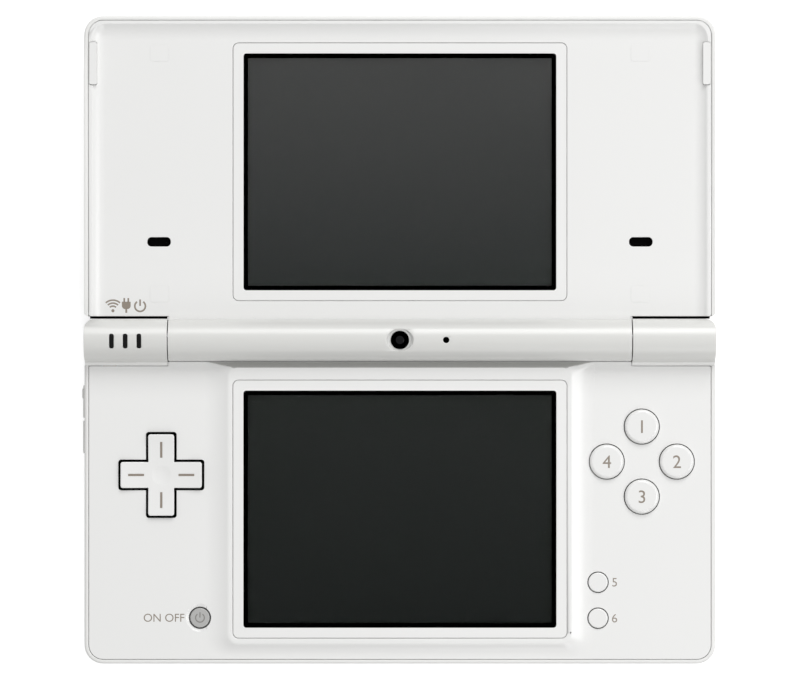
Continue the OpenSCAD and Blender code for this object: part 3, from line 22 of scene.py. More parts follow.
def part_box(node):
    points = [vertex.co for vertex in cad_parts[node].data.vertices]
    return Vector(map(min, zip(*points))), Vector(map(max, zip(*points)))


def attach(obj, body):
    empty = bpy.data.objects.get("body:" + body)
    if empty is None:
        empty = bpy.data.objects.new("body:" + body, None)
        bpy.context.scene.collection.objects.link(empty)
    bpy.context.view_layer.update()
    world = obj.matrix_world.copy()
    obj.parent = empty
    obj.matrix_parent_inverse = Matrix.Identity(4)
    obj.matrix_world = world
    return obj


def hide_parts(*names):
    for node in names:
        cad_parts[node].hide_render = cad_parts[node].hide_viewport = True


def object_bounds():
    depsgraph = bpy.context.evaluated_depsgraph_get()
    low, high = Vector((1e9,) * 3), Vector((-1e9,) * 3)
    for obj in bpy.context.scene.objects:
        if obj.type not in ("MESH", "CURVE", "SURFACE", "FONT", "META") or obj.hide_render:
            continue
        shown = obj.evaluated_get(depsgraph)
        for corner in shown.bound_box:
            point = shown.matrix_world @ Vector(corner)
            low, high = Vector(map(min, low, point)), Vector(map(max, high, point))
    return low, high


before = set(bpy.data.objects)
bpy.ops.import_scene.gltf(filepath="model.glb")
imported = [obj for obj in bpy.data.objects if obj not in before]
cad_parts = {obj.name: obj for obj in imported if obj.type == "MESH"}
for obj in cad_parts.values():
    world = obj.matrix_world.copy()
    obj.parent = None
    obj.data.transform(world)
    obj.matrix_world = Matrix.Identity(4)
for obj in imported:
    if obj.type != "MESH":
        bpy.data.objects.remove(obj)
CAD_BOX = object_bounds()

MM = 0.001
MICRON = 0.000001
AXIS_Z = 11.35
SIDE_Z = 10.6
PLATFORM_Z = 11.7
LID_FACE_Z = 10.6
BARREL_R = 4.6
BARREL_FOOT_Z = SIDE_Z + 0.3
BARREL_SLACK = 0.35
LOWER_SCREEN_Y = -36.7
UPPER_SCREEN_Y = 36.5
PAD_AT = (-51.8, -29.3)
FACE_KEYS = {side: (52.5 + 7.6 * x, -26.4 + 7.6 * y) for side, x, y in
             (("top", 0, 1), ("right", 1, 0), ("bottom", 0, -1), ("left", -1, 0))}
START_AT = (43.0, -52.6)
SELECT_AT = (43.0, -60.4)
POWER_AT = (-43.4, -60.3)
INK_SINK = 0.01
INK_DEPTH = 0.022
FLAT_ANGLE = 0.6
SHARP_ANGLE = 28.0
ROUNDING_TRIES = 5
NEAR_Z = 0.02

Pair = tuple[float, float]
Triple = tuple[float, float, float]
Source = bpy.types.NodeSocket | float | tuple

log = logging.getLogger("console")


class Slot(Enum):
    """Material slots, one given with each piece's mount."""

    SHELL = "shell_white"
    FACE = "face_white"
    WINDOW = "clear_window"
    BLACK = "black_plastic"
    STEEL = "steel"
    RUBBER = "rubber"
    GREY = "grey_plastic"
    POWER = "power_grey"
    LENS = "lens"


# ---------------------------------------------------------------- shader groups


def feed(node: bpy.types.Node, inputs: dict[str | int, Source]) -> None:
    """Link or set some of a node's inputs.

    Args:
        node: The node.
        inputs: Input name or index to the socket or value that feeds it.
    """
    for label, value in inputs.items():
        if isinstance(value, bpy.types.NodeSocket):
            node.id_data.links.new(value, node.inputs[label])
        else:
            node.inputs[label].default_value = value


def wire(tree: bpy.types.NodeTree, kind: str, inputs: dict[str | int, Source], **settings: object
         ) -> bpy.types.Node:
    """Add a shader node with its inputs linked or set.

    Args:
        tree: The node tree.
        kind: The node's type, without "ShaderNode".
        inputs: Input name or index to the socket or value that feeds it.
        settings: The node's other settings.

    Returns:
        The node.
    """
    node = tree.nodes.new(f"ShaderNode{kind}")
    for label, value in settings.items():
        setattr(node, label, value)
    feed(node, inputs)
    return node


def math_node(tree: bpy.types.NodeTree, operation: str, *values: Source) -> bpy.types.NodeSocket:
    """Add a Math node and return its result."""
    return wire(tree, "Math", dict(enumerate(values)), operation=operation).outputs[0]


def scaled_by(tree: bpy.types.NodeTree, vector: Source, scale: Source) -> bpy.types.NodeSocket:
    """Add a node that scales a vector or colour and return its result."""
    return wire(tree, "VectorMath", {0: vector, "Scale": scale}, operation="SCALE").outputs[0]


def mixed(tree: bpy.types.NodeTree, share: Source, first: Source, second: Source) -> bpy.types.NodeSocket:
    """Add a node that mixes two colours and return its result."""
    return wire(tree, "Mix", {"Factor": share, "A": first, "B": second}, data_type="RGBA").outputs["Result"]


def noise(tree: bpy.types.NodeTree, place: Source, scale: Source, detail: float, distortion: float = 0.0
          ) -> bpy.types.NodeSocket:
    """Add a noise texture and return its value."""
    return wire(tree, "TexNoise", {"Vector": place, "Scale": scale, "Detail": detail,
                                   "Distortion": distortion}).outputs["Fac"]


def object_place(tree: bpy.types.NodeTree) -> bpy.types.NodeSocket:
    """Add the object coordinates and return them."""
    return wire(tree, "TexCoord", {}).outputs["Object"]


def new_group(name: str, inputs: dict[str, float | tuple], outputs: Sequence[str]
              ) -> tuple[bpy.types.ShaderNodeTree, bpy.types.NodeOutputs, bpy.types.Node]:
    """Start a shader node group.

    Args:
        name: The group's name.
        inputs: Each input's default: a number, a vector of three or a colour of four.
        outputs: The outputs' names; Color is a colour and the others are numbers.

    Returns:
        The tree, the sockets that its inputs come from and its output node.
    """
    tree = bpy.data.node_groups.new(name, "ShaderNodeTree")
    for label, value in inputs.items():
        kind = {3: "Vector", 4: "Color"}[len(value)] if isinstance(value, tuple) else "Float"
        socket = tree.interface.new_socket(label, in_out="INPUT", socket_type=f"NodeSocket{kind}")
        socket.default_value = value
    for label in outputs:
        kind = "Color" if label == "Color" else "Float"
        tree.interface.new_socket(label, in_out="OUTPUT", socket_type=f"NodeSocket{kind}")
    return tree, tree.nodes.new("NodeGroupInput").outputs, tree.nodes.new("NodeGroupOutput")


def moulded_surface() -> bpy.types.ShaderNodeTree:
    """Group for moulded plastic: flow in the colour, handling marks in the gloss, fine grain.

    Returns:
        The group, with outputs Color, Roughness and Height.
    """
    tree, enter, leave = new_group(
        "moulded_surface",
        {"Color": (0.8, 0.8, 0.8, 1), "Variation": 0.02, "Roughness": 0.3, "Smudge": 0.05,
         "Grain Scale": 9000.0}, ("Color", "Roughness", "Height"))
    place = object_place(tree)
    flow = noise(tree, place, scale=38.0, detail=3.0)
    smudge = noise(tree, place, scale=110.0, detail=5.0, distortion=0.6)
    grain = noise(tree, place, scale=enter["Grain Scale"], detail=2.0)
    spread = math_node(tree, "MULTIPLY_ADD", flow, enter["Variation"], 1.0)
    level = math_node(tree, "MULTIPLY_ADD", enter["Variation"], -0.5, spread)
    centred = math_node(tree, "SUBTRACT", smudge, 0.5)
    rough = math_node(tree, "MULTIPLY_ADD", centred, enter["Smudge"], enter["Roughness"])
    feed(leave, {"Color": scaled_by(tree, enter["Color"], level), "Roughness": rough, "Height": grain})
    return tree


def brushed_surface() -> bpy.types.ShaderNodeTree:
    """Group for metal: fine drawn lines in the gloss and the height.

    Returns:
        The group, with outputs Color, Roughness and Height.
    """
    tree, enter, leave = new_group(
        "brushed_surface",
        {"Color": (0.6, 0.6, 0.62, 1), "Roughness": 0.3, "Stretch": (400.0, 6000.0, 6000.0)},
        ("Color", "Roughness", "Height"))
    stretched = wire(tree, "VectorMath", {0: object_place(tree), 1: enter["Stretch"]}, operation="MULTIPLY")
    lines = noise(tree, stretched.outputs[0], scale=1.0, detail=4.0)
    rough = math_node(tree, "MULTIPLY_ADD", lines, 0.16, enter["Roughness"])
    dull = mixed(tree, lines, enter["Color"], scaled_by(tree, enter["Color"], 0.8))
    feed(leave, {"Color": dull, "Roughness": rough, "Height": lines})
    return tree


def panel_pixels() -> bpy.types.ShaderNodeTree:
    """Group for a switched-off LCD: a fine pixel grid over a colour that fades down the panel, a painted
    reflection.

    Returns:
        The group, with outputs Color and Grid.
    """
    tree, enter, leave = new_group(
        "panel_pixels",
        {"Near": (0.02, 0.02, 0.02, 1), "Far": (0.05, 0.05, 0.05, 1), "From Y": 0.0, "To Y": 1.0,
         "Pitch": 3878.0}, ("Color", "Grid"))
    axes = wire(tree, "SeparateXYZ", {0: object_place(tree)}).outputs
    reflection_fade = wire(tree, "MapRange", {"Value": axes["Y"], "From Min": enter["From Y"],
                                   "From Max": enter["To Y"]}).outputs["Result"]
    lines = []
    for axis in ("X", "Y"):
        part = math_node(tree, "FRACT", math_node(tree, "MULTIPLY", axes[axis], enter["Pitch"]))
        lines.append(math_node(tree, "GREATER_THAN", part, 0.14))
    grid = math_node(tree, "MULTIPLY", *lines)
    shade = math_node(tree, "MULTIPLY_ADD", grid, 0.16, 0.88)
    color = mixed(tree, reflection_fade, enter["Near"], enter["Far"])
    feed(leave, {"Color": scaled_by(tree, color, shade), "Grid": grid})
    return tree


def group_material(name: str, build: Callable[[], bpy.types.ShaderNodeTree], values: dict[str, Source],
                   bump: Pair, shader_values: dict[str, Source]) -> bpy.types.Material:
    """Return a material made of a shared group and a Principled shader, made on first use.

    Args:
        name: The material's name.
        build: The function that builds the group, called once.
        values: The group's inputs.
        bump: Strength, and depth in metres, of the bump that the group's last output drives.
        shader_values: Inputs of the Principled shader.

    Returns:
        The material.
    """
    if name in bpy.data.materials:
        return bpy.data.materials[name]
    material = bpy.data.materials.new(name)
    material.use_nodes = True
    tree = material.node_tree
    group = wire(tree, "Group", values, node_tree=bpy.data.node_groups.get(build.__name__) or build())
    relief = wire(tree, "Bump", {"Strength": bump[0], "Distance": bump[1], "Height": group.outputs[-1]})
    shader = tree.nodes["Principled BSDF"]
    feed(shader, {"Base Color": group.outputs["Color"], "Normal": relief.outputs["Normal"]})
    if "Roughness" in group.outputs:
        feed(shader, {"Roughness": group.outputs["Roughness"]})
    feed(shader, shader_values)
    return material


@dataclass(frozen=True)
class Plastic:
    """Moulded plastic."""

    name: str
    color: Triple
    roughness: float = 0.3
    coat: float = 0.0
    coat_roughness: float = 0.1
    variation: float = 0.015
    smudge: float = 0.06
    grain_scale: float = 9000.0
    grain_depth: float = 0.000004
    grain: float = 0.25
    specular: float = 0.5

    def material(self) -> bpy.types.Material:
        """Return the material, made on first use.

        Returns:
            The material.
        """
        return group_material(
            self.name, moulded_surface,
            {"Color": (*self.color, 1), "Variation": self.variation, "Roughness": self.roughness,
             "Smudge": self.smudge, "Grain Scale": self.grain_scale}, (self.grain, self.grain_depth),
            {"Coat Weight": self.coat, "Coat Roughness": self.coat_roughness,
             "Specular IOR Level": self.specular})


@dataclass(frozen=True)
class Metal:
    """Drawn or stamped metal."""

    name: str
    color: Triple
    roughness: float = 0.28
    stretch: Triple = (900.0, 7000.0, 7000.0)

    def material(self) -> bpy.types.Material:
        """Return the material, made on first use.

        Returns:
            The material.
        """
        return group_material(
            self.name, brushed_surface,
            {"Color": (*self.color, 1), "Roughness": self.roughness, "Stretch": self.stretch},
            (0.2, 0.000004), {"Metallic": 1.0})


@dataclass(frozen=True)
class ClearPanel:
    """Clear plastic of a window, with a low IOR that keeps the dark screens free of a grey veil."""

    name: str
    color: Triple = (1.0, 1.0, 1.0)
    roughness: float = 0.02
    ior: float = 1.025

    def material(self) -> bpy.types.Material:
        """Return the material, made on first use.

        Returns:
            The material.
        """
        return group_material(
            self.name, moulded_surface,
            {"Color": (*self.color, 1), "Variation": 0.0, "Roughness": self.roughness, "Smudge": 0.03,
             "Grain Scale": 300.0}, (0.02, 0.000002), {"Transmission Weight": 1.0, "IOR": self.ior})


@dataclass(frozen=True)
class LcdPanel:
    """Switched-off LCD, seen through its window; the fade between its two colours is a painted reflection.
    """

    name: str
    near: Triple
    far: Triple
    near_y: float
    far_y: float

    def material(self) -> bpy.types.Material:
        """Return the material, made on first use.

        Returns:
            The material.
        """
        return group_material(
            self.name, panel_pixels,
            {"Near": (*self.near, 1), "Far": (*self.far, 1), "From Y": self.near_y * MM,
             "To Y": self.far_y * MM},
            (0.1, 0.000005), {"Roughness": 0.25, "Specular IOR Level": 0.02})


Finishing = Plastic | Metal | ClearPanel | LcdPanel


class Finish:
    """The finishes of the console's pieces."""

    face = Plastic("white_gloss_plastic", (0.815, 0.815, 0.805), coat=0.25, coat_roughness=0.12)
    shell = Plastic("white_satin_plastic", (0.80, 0.80, 0.785), roughness=0.42, grain=0.5)
    # Darker white on the hinge barrel, the camera seat and the rocker: partly the satin plastic's own tone,
    # partly painted shade.
    barrel = Plastic("barrel_satin_white_and_painted_shade", (0.665, 0.665, 0.645), roughness=0.36, coat=0.6,
                     coat_roughness=0.3, grain=0.4)
    # Grey painted shade on the valley between the barrel and the screen platform, where the barrel's shadow
    # falls.
    valley = Plastic("valley_painted_shade", (0.47, 0.47, 0.455), roughness=0.5, grain=0.5)
    keys = Plastic("white_key_plastic", (0.81, 0.81, 0.80), roughness=0.26, coat=0.3)
    border = Plastic("window_border_ink", (0.82, 0.82, 0.81), roughness=0.12, coat=0.5, coat_roughness=0.03)
    ink = Plastic("greige_ink", (0.26, 0.222, 0.184), roughness=0.5, variation=0.1)
    power = Plastic("power_key_plastic", (0.43, 0.43, 0.42), coat=0.2)
    power_mark = Plastic("power_mark_grey", (0.22, 0.21, 0.20), roughness=0.5)
    black = Plastic("black_gloss_plastic", (0.0001, 0.0001, 0.0001), roughness=0.25, specular=0.0)
    dark = Plastic("black_moulding", (0.02, 0.02, 0.02), roughness=0.45, variation=0.15, specular=0.3)
    smoke = Plastic("smoked_light_pipe", (0.003, 0.003, 0.003), specular=0.12)
    rubber = Plastic("foot_rubber", (0.18, 0.18, 0.185), roughness=0.7, grain=0.8, grain_depth=0.00001)
    grey = Plastic("grey_moulding", (0.3, 0.3, 0.31), roughness=0.5, variation=0.08)
    # Dark green solder mask, darkened further as painted shade where it shows through the gaps.
    board = Plastic("solder_mask_and_gap_shade", (0.006, 0.016, 0.009), roughness=0.5, variation=0.3, specular=0.05)
    amber = Plastic("amber_film", (0.45, 0.2, 0.03), variation=0.2)
    # Black speaker cloth; the same black is also painted shade on the keys' hole walls, the d-pad's walls
    # and flange, and the ear gap strips.
    cloth = Plastic("speaker_cloth_and_gap_shade", (0.0015, 0.0015, 0.0015), roughness=0.95, grain_scale=2500.0,
                    grain=1.0, grain_depth=0.00005, specular=0.05)
    battery = Plastic("battery_wrap", (0.06, 0.075, 0.1), roughness=0.45, variation=0.1)
    steel = Metal("brushed_steel", (0.62, 0.62, 0.64))
    zinc = Metal("zinc_screws", (0.5, 0.5, 0.52), 0.34)
    gold = Metal("gold_contacts", (0.85, 0.62, 0.25), 0.22)
    clear = ClearPanel("window_clear_plastic")
    lens_dark = Plastic("camera_glass_dark", (0.004, 0.004, 0.005), roughness=0.08, specular=0.1)
    # Dark grey of each LCD: partly the panel's own tone, partly painted reflection; the fade from near to
    # far is painted reflection.
    lower_lcd = LcdPanel("lower_lcd_panel", (0.0088, 0.0102, 0.0095), (0.0157, 0.0175, 0.0164),
                         near_y=-61.5, far_y=-11.9)
    upper_lcd = LcdPanel("upper_lcd_panel", (0.0215, 0.0235, 0.0228), (0.0445, 0.0455, 0.0448),
                         near_y=11.7, far_y=61.2)


# ---------------------------------------------------------------- mesh work


def merged_copy(node: str) -> BMesh:
    """Copy a CAD node's mesh, with its loose triangles merged into whole faces.

    Args:
        node: The CAD node.

    Returns:
        The copy.
    """
    bm = bmesh.new()
    bm.from_mesh(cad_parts[node].data)
    bmesh.ops.remove_doubles(bm, verts=bm.verts[:], dist=2 * MICRON)
    bmesh.ops.dissolve_limit(bm, angle_limit=math.radians(FLAT_ANGLE), use_dissolve_boundaries=False,
                             verts=bm.verts[:], edges=bm.edges[:], delimit=set())
    return bm


def crossed_spots(bm: BMesh) -> list[Vector]:
    """Find where the outline of a face runs over itself.

    Args:
        bm: The mesh.

    Returns:
        The places, none on a sound mesh.
    """
    bm.faces.index_update()
    cover = dict.fromkeys(range(len(bm.faces)), 0.0)
    for corner_a, corner_b, corner_c in bm.calc_loop_triangles():
        a, b, c = corner_a.vert.co, corner_b.vert.co, corner_c.vert.co
        cover[corner_a.face.index] += (b - a).cross(c - a).length / 2
    spots = []
    for face in bm.faces:
        area = face.calc_area()
        excess = abs(area - cover[face.index])
        if excess < 1e-9 + 0.002 * area:
            continue
        drop = max(range(3), key=lambda k: abs(face.normal[k]))
        p = np.array([[v.co[k] for k in range(3) if k != drop] for v in face.verts])
        q = np.roll(p, -1, axis=0)

        def turn(u: np.ndarray, v: np.ndarray, w: np.ndarray) -> np.ndarray:
            """Return which side of line u-v each w lies on."""
            return ((v[..., 0] - u[..., 0]) * (w[..., 1] - u[..., 1])
                    - (v[..., 1] - u[..., 1]) * (w[..., 0] - u[..., 0]))

        one, two = (p[:, None], q[:, None]), (p[None], q[None])
        hits = ((turn(*one, two[0]) * turn(*one, two[1]) < 0)
                & (turn(*two, one[0]) * turn(*two, one[1]) < 0))
        spots += [face.verts[int(i)].co.copy() for i in np.unique(np.nonzero(hits)[0])]
        if not hits.any() and len(face.verts) < 12 and excess > 0.05 * area:
            spots.append(face.calc_center_median())
    return spots


def round_edges(bm: BMesh, offset: float, segments: int = 2, angle: float = SHARP_ANGLE,
                where: Callable[[BMEdge], bool] | None = None) -> None:
    """Round the sharp edges of a mesh, leaving out those too close together for it.

    Args:
        bm: The mesh.
        offset: Width of the rounding in mm.
        segments: Steps across it.
        angle: Edges sharper than this, in degrees, are rounded.
        where: Picks the edges; every sharp edge without it.
    """
    crowded: list[Vector] = []
    reach = 4 * offset * MM

    def fits(edge: BMEdge) -> bool:
        """Tell whether an edge is sharp, wanted and clear of the crowded places.

        Args:
            edge: The edge.

        Returns:
            Whether it is rounded.
        """
        return (edge.is_manifold and edge.calc_face_angle(0.0) > math.radians(angle)
                and (where is None or where(edge))
                and all(min((v.co - p).length for v in edge.verts) > reach
                        and (middle(edge) * MM - p).length > reach for p in crowded))

    def bevel(mesh: BMesh) -> None:
        """Round the fitting edges of one mesh.

        Args:
            mesh: The mesh.
        """
        edges = [e for e in mesh.edges if fits(e)]
        if edges:
            bmesh.ops.bevel(mesh, geom=edges, offset=offset * MM, offset_type="OFFSET", segments=segments,
                            profile=0.5, affect="EDGES", clamp_overlap=False, material=-1)

    for _ in range(ROUNDING_TRIES):
        trial = bm.copy()
        bevel(trial)
        found = crossed_spots(trial)
        trial.free()
        if not found:
            break
        crowded += found
    bevel(bm)


def middle(edge: BMEdge) -> Vector:
    """Return the middle of an edge in mm."""
    return (edge.verts[0].co + edge.verts[1].co) / (2 * MM)


def on_outline(edge: BMEdge, z: float, half_w: float, y: Pair, r: float) -> bool:
    """Tell whether an edge lies on the outline of a plate with round corners.

    Args:
        edge: The edge.
        z: The outline's height in mm.
        half_w: Half the plate's width.
        y: Its low and high y.
        r: Its corner radius.

    Returns:
        Whether it lies there.
    """
    p = middle(edge)
    qx = abs(p.x) - half_w + r
    qy = abs(p.y - (y[0] + y[1]) / 2) - (y[1] - y[0]) / 2 + r
    away = math.hypot(max(qx, 0.0), max(qy, 0.0)) + min(max(qx, qy), 0.0) - r
    return abs(p.z - z) < 0.05 and abs(away) < 0.12


def rounded_loop(bm: BMesh, x: Pair, y: Pair, z: float, radius: float, segments: int = 8,
                 radius_far: float | None = None) -> list[BMEdge]:
    """Add a closed loop of edges: a rectangle with round corners.

    Args:
        bm: The mesh.
        x: Low and high x in mm.
        y: Low and high y.
        z: The loop's height.
        radius: Corner radius, 0 for a plain rectangle.
        segments: Steps round each corner.
        radius_far: Another radius for the corners at the high y.

    Returns:
        The loop's edges.
    """
    before = set(bm.faces)
    corners = [bm.verts.new(Vector(p) * MM) for p in
               ((x[0], y[0], z), (x[1], y[0], z), (x[1], y[1], z), (x[0], y[1], z))]
    face = bm.faces.new(corners)
    if radius <= 0:
        edges = list(face.edges)
        bmesh.ops.delete(bm, geom=[face], context="FACES_ONLY")
        return edges
    far = radius if radius_far is None else radius_far
    for pair, r in ((corners[:2], radius), (corners[2:], far)):
        bmesh.ops.bevel(bm, geom=pair, offset=r * MM, offset_type="OFFSET", segments=segments, profile=0.5,
                        affect="VERTICES", clamp_overlap=False, material=-1)
    made = set(bm.faces) - before
    face = max(made, key=lambda f: f.calc_area())
    edges = list(face.edges)
    bmesh.ops.delete(bm, geom=list(made), context="FACES_ONLY")
    return edges


def bridge(bm: BMesh, loops: Sequence[list[BMEdge]]) -> None:
    """Join each loop to the next one with faces."""
    for low, high in zip(loops, loops[1:]):
        bmesh.ops.bridge_loops(bm, edges=low + high)


def cap(bm: BMesh, loop: Iterable[BMEdge]) -> None:
    """Close a loop of edges with one face."""
    bmesh.ops.contextual_create(bm, geom=list(loop))


def block(bm: BMesh, x: Pair, y: Pair, z: Pair) -> None:
    """Add an upright block.

    Args:
        bm: The mesh.
        x: Low and high x in mm.
        y: Low and high y.
        z: Low and high z.
    """
    low, high = [rounded_loop(bm, x, y, level, 0) for level in z]
    bridge(bm, (low, high))
    cap(bm, low)
    cap(bm, high)


def absorb(bm: BMesh, part: BMesh) -> None:
    """Add a part to a mesh and free the part.

    Args:
        bm: The mesh.
        part: The part.
    """
    spare = bpy.data.meshes.new("part")
    part.to_mesh(spare)
    part.free()
    bm.from_mesh(spare)
    bpy.data.meshes.remove(spare)


def lathe(profile: Sequence[Pair], at: Pair, steps: int = 48) -> BMesh:
    """Turn a profile round the vertical through a point.

    Args:
        profile: Radius and height of each point in mm, in order.
        at: The axis in plan.
        steps: Steps of the full turn.

    Returns:
        The closed mesh.
    """
    bm = bmesh.new()
    verts = [bm.verts.new(Vector((at[0] + r, at[1], z)) * MM) for r, z in profile]
    edges = [bm.edges.new(pair) for pair in zip(verts, verts[1:])]
    bmesh.ops.spin(bm, geom=verts + edges, cent=Vector((at[0], at[1], 0)) * MM, axis=(0, 0, 1),
                   angle=math.tau, steps=steps, use_merge=True)
    bmesh.ops.remove_doubles(bm, verts=bm.verts[:], dist=MICRON)
    bmesh.ops.recalc_face_normals(bm, faces=bm.faces[:])
    return bm


@dataclass(frozen=True)
class Mount:
    """Where a piece belongs: its body, the CAD nodes it stands for, and its material slot."""

    body: str
    slot: Slot
    replaced: tuple[str, ...] = ()


def placed(name: str, data: bpy.types.ID) -> bpy.types.Object:
    """Make an object of some data and put it into the scene.

    Args:
        name: The object's name.
        data: Its mesh, curve, lamp or camera.

    Returns:
        The object.
    """
    thing = bpy.data.objects.new(name, data)
    bpy.context.scene.collection.objects.link(thing)
    return thing


def make_piece(bm: BMesh, name: str, finishes: Sequence[Finishing], mount: Mount,
               sharp: float = 50.0) -> None:
    """Turn a mesh into a piece of the console.

    Args:
        bm: The mesh, freed here.
        name: The piece's name.
        finishes: Its finishes, in the order of the faces' material indices.
        mount: What it rides on and stands for.
        sharp: Edges over this angle, in degrees, stay sharp in the shading.
    """
    mesh = bpy.data.meshes.new(name)
    bm.to_mesh(mesh)
    bm.free()
    for finish in finishes:
        mesh.materials.append(finish.material())
    mesh.polygons.foreach_set("use_smooth", [True] * len(mesh.polygons))
    mesh.set_sharp_from_angle(angle=math.radians(sharp))
    piece = placed(name, mesh)
    normals = piece.modifiers.new("face_weighted_normals", "WEIGHTED_NORMAL")
    normals.keep_sharp = True
    normals.weight = 90
    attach(piece, mount.body)
    if mount.replaced:
        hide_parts(*mount.replaced)


def make_print(bm: BMesh, name: str, finish: Plastic, body: str) -> None:
    """Give a flat print its thickness and make it a piece.

    Args:
        bm: The flat print, freed here.
        name: The piece's name.
        finish: Its ink.
        body: The body it rides on.
    """
    made = bmesh.ops.extrude_face_region(bm, geom=bm.faces[:], use_keep_orig=True)
    lifted = [g for g in made["geom"] if isinstance(g, BMVert)]
    bmesh.ops.translate(bm, vec=(0, 0, INK_DEPTH * MM), verts=lifted)
    bmesh.ops.recalc_face_normals(bm, faces=bm.faces[:])
    make_piece(bm, name, (finish,), Mount(body, Slot.GREY))


@dataclass(frozen=True)
class WideEdge:
    """Edges of a moulding that are rounder than the rest."""

    where: Callable[[BMEdge], bool]
    offset: float
    segments: int = 4
    angle: float = SHARP_ANGLE


@dataclass
class Moulding:
    """A CAD solid with its edges rounded as they leave the mould."""

    node: str
    body: str
    finish: Finishing
    slot: Slot
    offset: float = 0.12
    wide: tuple[WideEdge, ...] = ()
    extra: tuple[Finishing, ...] = ()
    dress: Callable[[BMesh], None] | None = None
    reshape: Callable[[BMesh], None] | None = None
    rounds: Callable[[BMEdge], bool] | None = None

    def build(self) -> None:
        """Make the piece, which stands for its CAD node."""
        bm = merged_copy(self.node)
        if self.reshape:
            self.reshape(bm)
        for rule in self.wide:
            round_edges(bm, rule.offset, rule.segments, rule.angle, rule.where)
        if self.offset > 0:
            round_edges(bm, self.offset, where=self.rounds)
        for vert in bm.verts:
            vert.co = [min(max(c, a), b) for c, a, b in zip(vert.co, *CAD_BOX)]
        if self.dress:
            self.dress(bm)
        make_piece(bm, f"rounded_{self.node}", (self.finish, *self.extra),
                   Mount(self.body, self.slot, (self.node,)))


def dress(node: str, finish: Finishing) -> None:
    """Give a CAD node a finish in place of its plain one.

    Args:
        node: The CAD node.
        finish: The finish.
    """
    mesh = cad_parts[node].data
    mesh.materials.clear()
    mesh.materials.append(finish.material())


# ---------------------------------------------------------------- base


def on_barrel(face: BMFace) -> bool:
    """Tell whether a face lies on the hinge barrel."""
    p = face.calc_center_median() / MM
    return p.z > BARREL_FOOT_Z and abs(math.hypot(p.y, p.z - AXIS_Z) - BARREL_R) < BARREL_SLACK


def paint(bm: BMesh, where: Callable[[BMFace], bool], finish: int = 1) -> None:
    """Give some faces another of the piece's finishes; here it is always a darker one that paints shade,
    wholly or in part.

    Args:
        bm: The mesh.
        where: Picks the faces.
        finish: The finish's place in the piece's list.
    """
    for face in bm.faces:
        if where(face):
            face.material_index = finish


def paint_barrel(bm: BMesh) -> None:
    """Give the faces that lie on the hinge barrel the second finish, a darker white that is partly painted
    shade.
    """
    paint(bm, on_barrel)


def cut_faces(bm: BMesh, faces: Callable[[], list[BMFace]], at: Sequence[float], axis: int,
              near: float = MICRON) -> None:
    """Cut some faces along planes, so that their shading stays even.

    Args:
        bm: The mesh.
        faces: Finds the faces to cut.
        at: The planes' places, in millimetres.
        axis: The axis the planes stand across.
        near: Points closer than this to a plane, in metres, lie on it.
    """
    normal = Vector([float(k == axis) for k in range(3)])
    for place in at:
        found = faces()
        bmesh.ops.bisect_plane(bm, geom=found + list({e for f in found for e in f.edges})
                               + list({v for f in found for v in f.verts}), dist=near,
                               plane_co=normal * place * MM, plane_no=normal)


def cut_barrel(bm: BMesh, at: Sequence[float]) -> None:
    """Cut the barrel's long strips beside the holes in it."""
    cut_faces(bm, lambda: [f for f in bm.faces if on_barrel(f)], at, 0)


